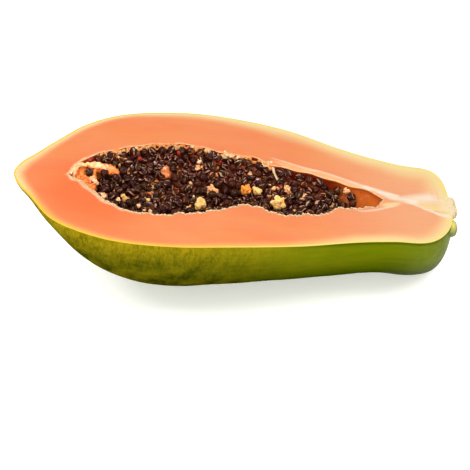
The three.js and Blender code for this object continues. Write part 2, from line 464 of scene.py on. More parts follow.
def copies(name, shape, middles, sizes, turns, tints):
    """One mesh of many copies of a shape, in the cut frame's millimetres until it is placed."""
    places, faces = shape
    count = len(middles)
    grown = places[None] * sizes[:, None]
    turned = np.einsum("nij,nkj->nki", turns, grown) + middles[:, None]
    cut_places = turned.reshape(-1, 3)
    all_faces = (faces[None] + np.arange(count)[:, None, None] * len(places)).reshape(-1, 3)
    mesh = bpy.data.meshes.new(name)
    mesh.from_pydata(to_part(cut_places).tolist(), [], all_faces.tolist())
    keep_values(mesh, "cut_place", cut_places * MM)
    keep_values(mesh, "tint", np.repeat(tints, len(places)))
    keep_values(mesh, "own_place", np.tile(places, (count, 1)))
    piece = bpy.data.objects.new(name, mesh)
    bpy.context.scene.collection.objects.link(piece)
    mesh.shade_smooth()
    return piece


def melt(piece, voxel, relief, relief_size, seed):
    """Melts overlapping balls into one lumpy skin and roughens it, all in metres."""
    start_afresh()
    piece.select_set(True)
    bpy.context.view_layer.objects.active = piece
    remesh = piece.modifiers.new("Melt", "REMESH")
    remesh.mode = "VOXEL"
    remesh.voxel_size = voxel
    bpy.ops.object.modifier_apply(modifier=remesh.name)
    smooth = piece.modifiers.new("Soften", "SMOOTH")
    smooth.iterations = 3
    bpy.ops.object.modifier_apply(modifier=smooth.name)
    roughen(piece.data, relief, relief_size, seed)
    piece.data.shade_smooth()
    return piece


def roughen(mesh, relief, size, seed):
    """Raises and sinks the surface in small waves, and keeps how high it stands: 0 to 1."""
    places = vertex_places(mesh)
    height = waves(places, size, seed) + 0.5 * waves(places, size / 2.3, seed + 1)
    keep_values(mesh, "stands_out", np.clip(0.5 + 0.7 * height, 0, 1))
    move_vertices(mesh, places + vertex_normals(mesh) * relief * height[:, None])


def finish_piece(piece, slot, *materials, replaces=()):
    for material in materials:
        piece.data.materials.append(material)
    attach(piece, BODY)
    if replaces:
        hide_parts(*replaces)
    return piece


# ------------------------------------------------------------------ shader nodes


def put(tree, socket, value):
    """Links an output to a socket, or sets the socket's own value."""
    if isinstance(value, bpy.types.NodeSocket):
        tree.links.new(value, socket)
    elif isinstance(value, tuple) and len(value) == 3 and socket.type == "RGBA":
        socket.default_value = (*value, 1)
    else:
        socket.default_value = value


def read(tree, name):
    """A value that the mesh keeps for each vertex."""
    node = tree.nodes.new("ShaderNodeAttribute")
    node.attribute_name = name
    return node


def calculate(tree, operation, first, second=0.0, clamp=False):
    node = tree.nodes.new("ShaderNodeMath")
    node.operation = operation
    node.use_clamp = clamp
    put(tree, node.inputs[0], first)
    put(tree, node.inputs[1], second)
    return node.outputs[0]


def times(tree, first, second, clamp=False):
    return calculate(tree, "MULTIPLY", first, second, clamp)


def plus(tree, first, second, clamp=False):
    return calculate(tree, "ADD", first, second, clamp)


def span(tree, value, start, end, low=0.0, high=1.0):
    """A value that goes smoothly from low to high while another goes from start to end."""
    node = tree.nodes.new("ShaderNodeMapRange")
    node.interpolation_type = "SMOOTHSTEP"
    for socket, number in zip(node.inputs[:5], (value, start, end, low, high)):
        put(tree, socket, number)
    return node.outputs[0]


def blend(tree, share, first, second):
    """The first colour where share is 0 and the second where it is 1."""
    node = tree.nodes.new("ShaderNodeMix")
    node.data_type = "RGBA"
    put(tree, node.inputs[0], share)
    put(tree, node.inputs[6], first)
    put(tree, node.inputs[7], second)
    return node.outputs[2]


def shade(tree, share, first, second):
    """The first colour, multiplied by the second where share is 1."""
    output = blend(tree, share, first, second)
    output.node.blend_type = "MULTIPLY"
    return output


def ramp(tree, value, stops):
    """A colour for each place of a value, from stops of place and colour."""
    node = tree.nodes.new("ShaderNodeValToRGB")
    while len(node.color_ramp.elements) < len(stops):
        node.color_ramp.elements.new(0.5)
    for element, (place, shown) in zip(node.color_ramp.elements, stops):
        element.position = place
        element.color = (*shown, 1)
    put(tree, node.inputs[0], value)
    return node.outputs[0]


def cloud(tree, vector, scale, detail=2.0, roughness=0.5, distortion=0.0):
    node = tree.nodes.new("ShaderNodeTexNoise")
    put(tree, node.inputs["Vector"], vector)
    node.inputs["Scale"].default_value = scale
    node.inputs["Detail"].default_value = detail
    node.inputs["Roughness"].default_value = roughness
    node.inputs["Distortion"].default_value = distortion
    return node.outputs[0]


def stretch(tree, vector, amount):
    """A place whose first direction is pressed together, so that a pattern on it is drawn out."""
    node = tree.nodes.new("ShaderNodeMapping")
    put(tree, node.inputs["Vector"], vector)
    node.inputs["Scale"].default_value = (1 / amount, 1, 1)
    return node.outputs[0]


def parts_of(tree, vector):
    node = tree.nodes.new("ShaderNodeSeparateXYZ")
    put(tree, node.inputs[0], vector)
    return node.outputs


def effect(name, inputs, outputs):
    """An empty node group with named inputs and outputs."""
    tree = bpy.data.node_groups.new(name, "ShaderNodeTree")
    for socket_name, kind, default in inputs:
        socket = tree.interface.new_socket(name=socket_name, in_out="INPUT", socket_type=kind)
        if default is not None:
            socket.default_value = default
    for socket_name, kind in outputs:
        tree.interface.new_socket(name=socket_name, in_out="OUTPUT", socket_type=kind)
    return tree, tree.nodes.new("NodeGroupInput"), tree.nodes.new("NodeGroupOutput")


def mottling():
    """Soft blotches drawn out along the fruit: 0 to 1."""
    made = bpy.data.node_groups.get("Mottling")
    if made:
        return made
    tree, given, result = effect(
        "Mottling",
        [("Place", "NodeSocketVector", None), ("Scale", "NodeSocketFloat", 60.0),
         ("Draw Out", "NodeSocketFloat", 3.0), ("Contrast", "NodeSocketFloat", 2.0)],
        [("Mask", "NodeSocketFloat")])
    combine = tree.nodes.new("ShaderNodeCombineXYZ")
    share = calculate(tree, "DIVIDE", 1.0, given.outputs["Draw Out"])
    put(tree, combine.inputs[0], share)
    combine.inputs[1].default_value = 1
    combine.inputs[2].default_value = 1
    scaled = tree.nodes.new("ShaderNodeVectorMath")
    scaled.operation = "MULTIPLY"
    put(tree, scaled.inputs[0], given.outputs["Place"])
    put(tree, scaled.inputs[1], combine.outputs[0])
    texture = tree.nodes.new("ShaderNodeTexNoise")
    put(tree, texture.inputs["Vector"], scaled.outputs[0])
    put(tree, texture.inputs["Scale"], given.outputs["Scale"])
    texture.inputs["Detail"].default_value = 3
    middle = calculate(tree, "SUBTRACT", texture.outputs[0], 0.5)
    strong = times(tree, middle, given.outputs["Contrast"])
    put(tree, result.inputs["Mask"], plus(tree, strong, 0.5, clamp=True))
    return tree


def mottle(tree, place, scale, draw_out, contrast):
    node = tree.nodes.new("ShaderNodeGroup")
    node.node_tree = mottling()
    put(tree, node.inputs["Place"], place)
    node.inputs["Scale"].default_value = scale
    node.inputs["Draw Out"].default_value = draw_out
    node.inputs["Contrast"].default_value = contrast
    return node.outputs["Mask"]


def moist_relief():
    """Fine cells and fibres of moist plant tissue, as a height."""
    made = bpy.data.node_groups.get("Moist relief")
    if made:
        return made
    tree, given, result = effect(
        "Moist relief",
        [("Place", "NodeSocketVector", None), ("Cells", "NodeSocketFloat", 900.0),
         ("Fibres", "NodeSocketFloat", 0.5)],
        [("Height", "NodeSocketFloat")])
    texture = tree.nodes.new("ShaderNodeTexNoise")
    put(tree, texture.inputs["Vector"], given.outputs["Place"])
    put(tree, texture.inputs["Scale"], given.outputs["Cells"])
    texture.inputs["Detail"].default_value = 3
    fibres = cloud(tree, stretch(tree, given.outputs["Place"], 9), 1100, detail=2)
    drawn = times(tree, fibres, given.outputs["Fibres"])
    put(tree, result.inputs["Height"], plus(tree, texture.outputs[0], drawn))
    return tree


def relief_normal(tree, place, cells, fibres, strength, distance=0.0004):
    group = tree.nodes.new("ShaderNodeGroup")
    group.node_tree = moist_relief()
    put(tree, group.inputs["Place"], place)
    group.inputs["Cells"].default_value = cells
    group.inputs["Fibres"].default_value = fibres
    bump = tree.nodes.new("ShaderNodeBump")
    bump.inputs["Strength"].default_value = strength
    bump.inputs["Distance"].default_value = distance
    put(tree, bump.inputs["Height"], group.outputs["Height"])
    return bump.outputs[0]


def new_material(name):
    material = bpy.data.materials.new(name)
    material.use_nodes = True
    tree = material.node_tree
    return material, tree, tree.nodes["Principled BSDF"]


# ------------------------------------------------------------------ materials

RIPEST_SPOT = (-0.098, -0.012, 0)     # on the cut face, in metres


def flesh_tone(tree, place, along, fibres, colours):
    """The flesh itself: uneven, ripest near the blossom tip and paler toward the stem."""
    blotches = mottle(tree, place, 38, 2.5, 2.2)
    tone = blend(tree, blotches, tuple(colours.flesh), tuple(colours.flesh_deep))
    rosy = mottle(tree, place, 26, 1.6, 3.0)
    tone = blend(tree, times(tree, rosy, 0.4), tone, colour("#fb8c62"))
    sunny = mottle(tree, place, 62, 3.0, 3.0)
    tone = blend(tree, times(tree, sunny, 0.28), tone, colour("#fca250"))
    away = tree.nodes.new("ShaderNodeVectorMath")
    away.operation = "DISTANCE"
    put(tree, away.inputs[0], place)
    away.inputs[1].default_value = RIPEST_SPOT
    ripe = span(tree, away.outputs["Value"], 0.055, 0.012)
    tone = blend(tree, times(tree, ripe, 0.75), tone, colour("#fb6f2c"))
    neck = span(tree, along, 0.035, 0.135)
    tone = blend(tree, times(tree, neck, 0.85), tone, tuple(colours.flesh_pale))
    return shade(tree, times(tree, fibres, 0.10), tone, colour("#f2a070"))


def rind_over(tree, base, place, colours):
    """The pale yellow band along the skin, a warmer yellow on the near side."""
    along, across, _ = parts_of(tree, place)
    rind = read(tree, "rind").outputs["Fac"]
    pale_rind = ramp(tree, rind, [
        (0.0, colour("#fbe08c")), (0.12, colour("#fbdc98")), (0.4, colour("#fbc98b")),
        (1.0, tuple(colours.flesh))])
    ripe_rind = ramp(tree, rind, [
        (0.0, colour("#fdc444")), (0.2, colour("#fcb458")), (0.5, colour("#fba060")),
        (1.0, tuple(colours.flesh))])
    near_side = times(tree, span(tree, across, 0.01, -0.02), span(tree, along, 0.10, 0.02))
    near_side = times(tree, near_side, span(tree, along, -0.148, -0.13))
    uneven = plus(tree, rind, times(tree, mottle(tree, place, 45, 2.0, 2.0), 0.35))
    return blend(tree, span(tree, uneven, 1.15, 0.3), base, blend(tree, near_side, pale_rind, ripe_rind))


def veins_over(tree, base, place, fibres, colours):
    """The strands that run from the hollow to the stem."""
    threads = mottle(tree, place, 420, 22, 3.5)
    yellow = blend(tree, threads, colour("#fce8a8"), colour("#fbd890"))
    pale = blend(tree, threads, tuple(colours.vein), colour("#fce0b8"))
    streaks = plus(tree, times(tree, fibres, 0.5), 0.75)
    for name, shown, strength in (("yellow_vein", yellow, 0.9), ("pale_vein", pale, 1.0)):
        mask = times(tree, read(tree, name).outputs["Fac"], strength)
        base = blend(tree, times(tree, mask, streaks, clamp=True), base, shown)
    return base


def lining_over(tree, base, place):
    """The pale tissue on the cut face beside the hollow."""
    lining = blend(tree, mottle(tree, place, 420, 1.5, 3), colour("#fde3bd"), colour("#fbb878"))
    return blend(tree, read(tree, "lining").outputs["Fac"], base, lining)


def hollow_tone_and_shade(tree, place, from_rim):
    """The hollow's wall: darkened by painted shade the deeper it lies behind the seeds, and orange where it
    lies bare.
    """
    depth = times(tree, from_rim, -0.1, clamp=True)
    # painted shade: the wall darkens the deeper it lies under the rim
    shaded_wall = ramp(tree, depth, [
        (0.0, colour("#f4a050")), (0.03, colour("#cc6420")), (0.08, colour("#a03808")),
        (0.2, colour("#842004")), (1.0, colour("#6a1404"))])
    bare_wall = ramp(tree, depth, [
        (0.0, colour("#f8b068")), (0.04, colour("#d87424")), (0.12, colour("#c05414")),
        (0.5, colour("#e06c14")), (1.0, colour("#e07020"))])
    wall = blend(tree, read(tree, "bare").outputs["Fac"], shaded_wall, bare_wall)
    blotches = mottle(tree, place, 300, 1.6, 2.5)
    return shade(tree, times(tree, blotches, 0.5), wall, (0.62, 0.42, 0.3))


def flesh_material(colours):
    material, tree, surface = new_material("papaya flesh")
    place = read(tree, "cut_place").outputs["Vector"]
    from_rim = read(tree, "from_rim").outputs["Fac"]
    inside = span(tree, from_rim, 0.15, -0.25)
    fibres = mottle(tree, place, 700, 14, 1.6)

    base = flesh_tone(tree, place, parts_of(tree, place)[0], fibres, colours)
    base = rind_over(tree, base, place, colours)
    base = veins_over(tree, base, place, fibres, colours)
    base = lining_over(tree, base, place)
    base = blend(tree, inside, base, hollow_tone_and_shade(tree, place, from_rim))

    put(tree, surface.inputs["Base Color"], base)
    put(tree, surface.inputs["Roughness"], span(tree, inside, 0, 1, 0.42, 0.35))
    put(tree, surface.inputs["Coat Weight"], span(tree, inside, 0, 1, 0.05, 0.03))
    put(tree, surface.inputs["Specular IOR Level"], span(tree, inside, 0, 1, 0.22, 0.05))
    put(tree, surface.inputs["Normal"], relief_normal(tree, place, cells=850, fibres=0.6, strength=0.22))
    surface.inputs["Coat Roughness"].default_value = 0.18
    surface.inputs["Subsurface Weight"].default_value = 0.25
    surface.inputs["Subsurface Radius"].default_value = (1.0, 0.45, 0.2)
    surface.inputs["Subsurface Scale"].default_value = 0.003
    return material


def skin_tone_and_shade(tree, place, along, rise, toward_tip, colours):
    """Green toward the stem and ochre toward the blossom tip, with painted shade that darkens it down the
    side.
    """
    patchy = times(tree, mottle(tree, place, 25, 2, 2), 0.3)
    greening = plus(tree, span(tree, along, -0.09, 0.09), patchy)
    greening = calculate(tree, "SUBTRACT", greening, 0.15, clamp=True)
    tone = blend(tree, greening, tuple(colours.skin_ochre), tuple(colours.skin_green))
    under_edge = times(tree, span(tree, rise, -0.012, -0.001), toward_tip)
    tone = blend(tree, times(tree, under_edge, 0.5), tone, colour("#c4a41c"))
    # painted shade: the skin darkens down the side toward the bottom
    tone = shade(tree, span(tree, rise, -0.004, -0.048), tone, (0.18, 0.23, 0.04))
    # more painted shade low on the side toward the blossom tip
    painted_shade_by_tip = times(tree, span(tree, rise, -0.003, -0.024), toward_tip)
    return shade(tree, painted_shade_by_tip, tone, (0.46, 0.60, 0.6))


def freckles_over(tree, base, place, toward_tip):
    """Short dark freckles that run down the side, close together toward the blossom tip."""
    dashes = span(tree, mottle(tree, place, 175, 0.42, 5.0), 0.25, 0.85)
    freckles = times(tree, dashes, toward_tip)
    base = shade(tree, times(tree, freckles, 0.55), base, (0.40, 0.50, 0.12))
    fine_dashes = span(tree, mottle(tree, place, 360, 0.3, 6.0), 0.4, 0.8)
    fine_freckles = times(tree, fine_dashes, toward_tip)
    base = shade(tree, times(tree, fine_freckles, 0.5), base, (0.45, 0.52, 0.15))
    blotches = times(tree, mottle(tree, place, 60, 0.6, 3.0), toward_tip)
    return blend(tree, times(tree, blotches, 0.3), base, colour("#b8a218"))


def streaks_over(tree, base, place, streaks):
    """Faint darker streaks and bands that run along the fruit."""
    base = shade(tree, times(tree, streaks, 0.35), base, (0.58, 0.66, 0.3))
    bands = mottle(tree, place, 120, 12, 2.5)
    return shade(tree, times(tree, bands, 0.25), base, (0.62, 0.62, 0.25))


def painted_sheen_over(tree, base, place, along, rise):
    """A greyish painted sheen over the upper side of the shoulder by the stem, and of the blossom tip."""
    # painted sheen: a paler, greyer patch where the skin would shine
    painted_sheen = plus(tree, span(tree, along, 0.105, 0.14), span(tree, along, -0.115, -0.145))
    painted_sheen = times(tree, painted_sheen, mottle(tree, place, 50, 0.5, 2.5))
    painted_sheen = times(tree, painted_sheen, span(tree, rise, -0.045, -0.015))
    return blend(tree, times(tree, painted_sheen, 0.4), base, colour("#8e9c40"))


def skin_material(colours):
    material, tree, surface = new_material("papaya skin")
    place = read(tree, "cut_place").outputs["Vector"]
    along, _, rise = parts_of(tree, place)
    toward_tip = span(tree, along, 0.06, -0.05)
    streaks = mottle(tree, place, 380, 22, 3)

    base = skin_tone_and_shade(tree, place, along, rise, toward_tip, colours)
    base = freckles_over(tree, base, place, toward_tip)
    base = streaks_over(tree, base, place, streaks)
    base = painted_sheen_over(tree, base, place, along, rise)
    under_rim = times(tree, span(tree, rise, -0.0040, -0.0012), span(tree, along, 0.02, 0.08))
    base = shade(tree, under_rim, base, (0.6, 0.6, 0.4))
    cut_edge = blend(tree, toward_tip, colour("#fce686"), colour("#fccc4a"))
    base = blend(tree, span(tree, rise, -0.0005, -0.0001), base, cut_edge)

    put(tree, surface.inputs["Base Color"], base)
    put(tree, surface.inputs["Roughness"], span(tree, streaks, 0, 1, 0.36, 0.46))
    put(tree, surface.inputs["Normal"], relief_normal(tree, place, cells=420, fibres=0.3, strength=0.16))
    put(tree, surface.inputs["Specular IOR Level"], span(tree, along, 0.10, 0.14, 0.0, 0.012))
    return material


PATTERN_GAP = 40.0         # how far apart two copies read their pattern, at most, in their radii


def apart(tree, place, tint):
    """A copy's place, moved away by its own tint, so that no two copies share a pattern."""
    node = tree.nodes.new("ShaderNodeVectorMath")
    node.operation = "ADD"
    put(tree, node.inputs[0], place)
    put(tree, node.inputs[1], times(tree, tint, PATTERN_GAP))
    return node.outputs[0]


def seed_ridges_and_highlights():
    """Pale ridges that run from end to end of a seed in its clear sac, painted paler still as highlights
    that stand for the glint of the wet sac: 0 to 1.
    """
    made = bpy.data.node_groups.get("Seed ridges and highlights")
    if made:
        return made
    tree, given, result = effect(
        "Seed ridges and highlights",
        [("Place", "NodeSocketVector", None), ("Tint", "NodeSocketFloat", 0.0),
         ("Stripes", "NodeSocketFloat", 5.0), ("Width", "NodeSocketFloat", 0.5)],
        [("Mask", "NodeSocketFloat")])
    parts = parts_of(tree, given.outputs["Place"])
    own = apart(tree, given.outputs["Place"], given.outputs["Tint"])
    turn = calculate(tree, "ARCTAN2", parts[1], parts[2])
    wander = times(tree, cloud(tree, own, 0.9, detail=1), 6.0)
    phase = plus(tree, times(tree, turn, given.outputs["Stripes"]), wander)
    wave = calculate(tree, "SINE", phase)
    edge = calculate(tree, "SUBTRACT", 1.0, given.outputs["Width"])
    line = span(tree, wave, edge, plus(tree, edge, 0.35))
    broken = span(tree, cloud(tree, own, 1.3, detail=1), 0.42, 0.52)
    put(tree, result.inputs["Mask"], times(tree, line, broken))
    return tree


def seed_material(name, base_colour, ridge_highlight_colour, ridge_highlight_share, sheen):
    material, tree, surface = new_material(name)
    seed_place = read(tree, "own_place").outputs["Vector"]
    tint = read(tree, "tint").outputs["Fac"]
    own = apart(tree, seed_place, tint)
    stripes = tree.nodes.new("ShaderNodeGroup")
    stripes.node_tree = seed_ridges_and_highlights()
    put(tree, stripes.inputs["Place"], seed_place)
    put(tree, stripes.inputs["Tint"], tint)
    stripes.inputs["Stripes"].default_value = 5.0
    stripes.inputs["Width"].default_value = 0.39
    share = times(tree, stripes.outputs["Mask"], ridge_highlight_share)
    share = times(tree, share, span(tree, tint, 0, 1, 0.12, 1.1), clamp=True)
    grain = mottle(tree, own, 2.2, 1.0, 3.0)
    tone = shade(tree, times(tree, grain, 0.6), base_colour, (0.45, 0.30, 0.2))
    # the stripes' colour is the ridges' paler tone together with painted highlights
    put(tree, surface.inputs["Base Color"], blend(tree, share, tone, ridge_highlight_colour))
    put(tree, surface.inputs["Roughness"], span(tree, grain, 0, 1, 0.25, 0.4))
    bump = tree.nodes.new("ShaderNodeBump")
    bump.inputs["Strength"].default_value = 0.45
    bump.inputs["Distance"].default_value = 0.0006
    ridges = times(tree, stripes.outputs["Mask"], 0.5)
    height = plus(tree, cloud(tree, own, 2.2, detail=2, distortion=0.8), ridges)
    put(tree, bump.inputs["Height"], height)
    put(tree, surface.inputs["Normal"], bump.outputs[0])
    surface.inputs["Coat Weight"].default_value = 0.14
    surface.inputs["Coat Roughness"].default_value = 0.05
    surface.inputs["Coat IOR"].default_value = 1.45
    surface.inputs["Specular IOR Level"].default_value = 0.04
    surface.inputs["Sheen Weight"].default_value = sheen
    surface.inputs["Sheen Roughness"].default_value = 0.35
    surface.inputs["Sheen Tint"].default_value = (0.7, 0.4, 0.22, 1)
    return material


def pulp_material(name, pale, deep, scale, wet, glow):
    """Moist, partly clear tissue: pale where it stands out, and deep in its patches and, as painted shade,
    in its hollows.
    """
    material, tree, surface = new_material(name)
    place = tree.nodes.new("ShaderNodeTexCoord").outputs["Object"]
    patches = mottle(tree, place, scale, 1.0, 3.2)
    # painted shade: the deep colour where the relief sinks
    sunk_shade = span(tree, read(tree, "stands_out").outputs["Fac"], 0.75, 0.15)
    both = plus(tree, times(tree, patches, 0.45), times(tree, sunk_shade, 0.55))
    put(tree, surface.inputs["Base Color"], blend(tree, both, pale, deep))
    wet_tissue(tree, surface, place, both, wet, glow)
    return material


def wet_tissue(tree, surface, place, patches, wet, glow):
    """The gloss, the fine relief and the glow that all soft tissue in the hollow has."""
    put(tree, surface.inputs["Roughness"], span(tree, patches, 0, 1, 0.55 - 0.2 * wet, 0.42 - 0.15 * wet))
    relief = relief_normal(tree, place, cells=1300, fibres=0.2, strength=0.35, distance=0.0003)
    put(tree, surface.inputs["Normal"], relief)
    surface.inputs["Specular IOR Level"].default_value = 0.25
    surface.inputs["Coat Weight"].default_value = wet * 0.6
    surface.inputs["Coat Roughness"].default_value = 0.12
    surface.inputs["Subsurface Weight"].default_value = glow
    surface.inputs["Subsurface Radius"].default_value = (1.0, 0.55, 0.25)
    surface.inputs["Subsurface Scale"].default_value = 0.0015


def pocket_material():
    """Pale tissue in the hollow's tip that turns orange and juicy the lower it lies."""
    material, tree, surface = new_material("pale tissue")
    place = tree.nodes.new("ShaderNodeTexCoord").outputs["Object"]
    patches = mottle(tree, place, 260, 1.0, 3.0)
    # painted shade: the deeper colour where the relief sinks
    sunk_shade = span(tree, read(tree, "stands_out").outputs["Fac"], 0.8, 0.2)
    both = plus(tree, times(tree, patches, 0.5), times(tree, sunk_shade, 0.5))
    pale = blend(tree, both, colour("#fcd2a0", HOLLOW_LEVEL), colour("#f69a50", HOLLOW_LEVEL))
    juicy = blend(tree, both, colour("#f29c48", HOLLOW_LEVEL), colour("#c83c08", HOLLOW_LEVEL))
    forward, _, height = parts_of(tree, place)
    cut_level = plus(tree, times(tree, forward, -math.tan(REST_TILT)), REST_HEIGHT * MM)
    under = calculate(tree, "SUBTRACT", cut_level, height)
    put(tree, surface.inputs["Base Color"], blend(tree, span(tree, under, 0.0019, 0.0044), pale, juicy))
    wet_tissue(tree, surface, place, both, wet=0.15, glow=0.3)
    return material


def bed_material():
    """The wet bed of the seeds: dark juice, deepened by painted shade where it lies under the seeds, with
    orange tissue where it lies bare.
    """
    material, tree, surface = new_material("seed bed")
    place = read(tree, "cut_place").outputs["Vector"]
    bare = read(tree, "bare").outputs["Fac"]
    patches = mottle(tree, place, 130, 1.0, 3.5)
    grains = mottle(tree, place, 600, 1.0, 3.0)
    # the dark is the juice's colour deepened by painted shade, as the bed lies in the seeds' shade
    dark = blend(tree, patches, colour("#4c0e06", HOLLOW_LEVEL), colour("#c4480c", HOLLOW_LEVEL))
    bright = blend(tree, grains, colour("#f09444", HOLLOW_LEVEL), colour("#c45210", HOLLOW_LEVEL))
    put(tree, surface.inputs["Base Color"], blend(tree, bare, dark, bright))
    wet_tissue(tree, surface, place, grains, wet=0.6, glow=0.15)
    return material


def stem_material():
    material, tree, surface = new_material("stem remnant")
    place = read(tree, "cut_place").outputs["Vector"]
    along, across, rise = parts_of(tree, place)
    specks = mottle(tree, place, 330, 0.6, 5.0)
    base = blend(tree, specks, colour("#fae4be"), colour("#f6d89c"))
    end = span(tree, along, 0.1512, 0.1532)
    near_side = span(tree, across, 0.004, -0.008, 0.35, 1.0)
    spots = span(tree, mottle(tree, place, 240, 0.5, 4.0), 0.4, 0.9)
    brown = times(tree, times(tree, end, spots), near_side)
    base = blend(tree, brown, base, colour("#7c5c34"))
    under = span(tree, rise, -0.001, -0.006)
    base = blend(tree, times(tree, under, 0.7), base, colour("#a9a63a"))
    put(tree, surface.inputs["Base Color"], base)
    put(tree, surface.inputs["Normal"], relief_normal(tree, place, cells=700, fibres=0.8, strength=0.5))
    surface.inputs["Roughness"].default_value = 0.6
    surface.inputs["Subsurface Weight"].default_value = 0.15
    surface.inputs["Subsurface Radius"].default_value = (1.0, 0.7, 0.35)
    surface.inputs["Subsurface Scale"].default_value = 0.002
    return material


def knob_material():
    material, tree, surface = new_material("stem knob")
    place = read(tree, "cut_place").outputs["Vector"]
    along, _, rise = parts_of(tree, place)
    base = blend(tree, span(tree, rise, -0.0006, -0.0060), colour("#f0dc64"), colour("#66740e"))
    base = shade(tree, span(tree, along, 0.1496, 0.1526), base, (0.4, 0.38, 0.3))
    base = shade(tree, times(tree, mottle(tree, place, 300, 2, 3), 0.3), base, colour("#a9ac50"))
    put(tree, surface.inputs["Base Color"], base)
    put(tree, surface.inputs["Normal"], relief_normal(tree, place, cells=420, fibres=0.5, strength=0.3))
    surface.inputs["Roughness"].default_value = 0.42
    return material


def floor_material():
    material, tree, surface = new_material("pale floor")
    place = tree.nodes.new("ShaderNodeTexCoord").outputs["Object"]
    tone = mottle(tree, place, 3, 1, 1)
    put(tree, surface.inputs["Base Color"], blend(tree, tone, (0.88, 0.88, 0.87), (0.90, 0.90, 0.89)))
    surface.inputs["Roughness"].default_value = 0.7
    surface.inputs["Specular IOR Level"].default_value = 0.2
    surface.inputs["Emission Color"].default_value = (0.97, 1.0, 0.80, 1)
    surface.inputs["Emission Strength"].default_value = FLOOR_GLOW
    return material


# ------------------------------------------------------------------ flesh and skin

FRUIT_COLUMNS = 360
CUT_FACE_ROWS = 46
HOLLOW_ROWS = 44
INSIDE_ROWS = 24           # where the flesh and the skin meet, out of sight
SKIN_ROWS = 110
OUTLINE_POINTS = 900       # points on the outline and the rims that distances are measured from

# distance over which the rind's pale band fades into the flesh: along, near side, far side
RIND_STATIONS = [
    (-151, 13, 13),
    (-136, 8, 9),
    (-100, 6, 6),
    (-50, 5, 9),
    (0, 7, 14),
    (40, 9, 18),
    (80, 12, 19),
    (115, 14, 26),
    (151, 15, 34),
]
rind_near = curve_through(RIND_STATIONS, 1)
rind_far = curve_through(RIND_STATIONS, 2)

# strands from the hollow to the stem: strength, and places as (along, across, half width)
PALE_VEINS = [
    (0.6, [(24, 42, 0.3), (34, 38.5, 0.7), (48, 32.4, 0.9), (65, 27, 0.9), (77, 21.6, 1.0),
           (88, 16, 1.1), (96, 12.8, 1.3), (104, 8.6, 1.7)]),
    (1.0, [(86, 16.6, 1.0), (96, 12.0, 1.6), (104, 7.4, 2.7), (112, 4.0, 2.8), (121, 2.4, 1.8),
           (130, 4.0, 1.0), (141, 4.8, 0.9), (155, 4.4, 1.3)]),
    (1.0, [(101, 6.6, 1.6), (107, 4.6, 2.4), (113, 2.6, 2.2), (118, 0, 1.5), (126, -3.6, 1.2),
           (131, -7.2, 1.1), (136, -9.6, 1.1), (141, -13, 1.4), (155, -15.5, 2.2)]),
    (0.6, [(80, -13.4, 0.5), (86, -14.6, 0.7), (92, -13.4, 0.8), (100, -10.6, 0.9),
           (106, -7.8, 0.8), (114, -4.8, 0.6)]),
    (0.8, [(138, -2, 0.8), (147, -3.5, 4.0), (155, -4, 9.0)]),
]
YELLOW_VEINS = [
    (0.9, [(98, -6.4, 1.0), (103, -6, 1.8), (110, -4.4, 1.7), (117, -2, 1.0)]),
    (1.0, [(117, 0.6, 0.5), (124, -0.3, 2.4), (131, -2, 4.4), (140, -3, 6.2), (155, -4.5, 8.0)]),
    (0.45, [(25, 38.6, 0.6), (36, 34.6, 2.0), (48, 29.8, 2.4), (60, 26.6, 2.6), (76, 18.8, 2.8),
            (88, 13.4, 2.4), (99, 7.5, 1.6)]),
    (0.35, [(30, 36, 1.2), (48, 27.6, 2.0), (60, 24.4, 2.2), (76, 15.6, 2.2), (88, 12, 1.8)]),
]


def outline_along(s):
    return TIP_END + (STEM_END - TIP_END) * ease(s, 0.35)


def rim_along(s):
    return RIM_TIP + (RIM_STEM - RIM_TIP) * ease(s, 0.7)


def nearest(places, line):
    """Distance over the cut face from each place to a line of places."""
    result = np.empty(len(places))
    for start in range(0, len(places), 4000):
        part = places[start:start + 4000, None, :2] - line[None, :, :2]
        result[start:start + 4000] = np.sqrt((part**2).sum(-1)).min(1)
    return result


def strand_mask(places, strands, softness=0.9):
    """1 in the middle of the strands, falling to 0 at their edges."""
    mask = np.zeros(len(places))
    for strength, stations in strands:
        middle = curve_through(stations, 1)
        width = curve_through(stations, 2)
        start, end = stations[0][0], stations[-1][0]
        along = places[:, 0]
        off = np.abs(places[:, 1] - middle(along)) / np.maximum(width(along), 0.1)
        ends = smoothstep(along, start - 1, start + 7) * (1 - smoothstep(along, end - 6, end + 1))
        soft = softness * np.minimum(2 / np.maximum(width(along), 0.1), 1)
        shown = 1 - smoothstep(off, 1 - soft * 0.7, 1 + soft)
        mask = np.maximum(mask, strength * shown * ends)
    return mask


def lining_mask(places, from_rim, far_side):
    """Pale lining on the cut face beside the hollow: 0 to 1."""
    along = places[:, 0]
    wide_near = 0.8 + 2.6 * smoothstep(along, -58, -96)
    wide_far = 0.3 + 1.4 * smoothstep(along, -92, -108)
    uneven = 1 + 0.2 * np.sin(along * 0.6 + 2 * np.sin(along * 0.17))
    width = np.where(far_side > 0, wide_far, wide_near) * uneven
    return 1 - smoothstep(from_rim, 0.3 * width, width + 0.6)


def flesh_marks(count, **known):
    """What each vertex of the flesh keeps for the material. What isn't given is 0."""
    names = ("rind", "from_rim", "lining", "pale_vein", "yellow_vein", "bare")
    return {name: np.zeros(count) + known.get(name, 0.0) for name in names}


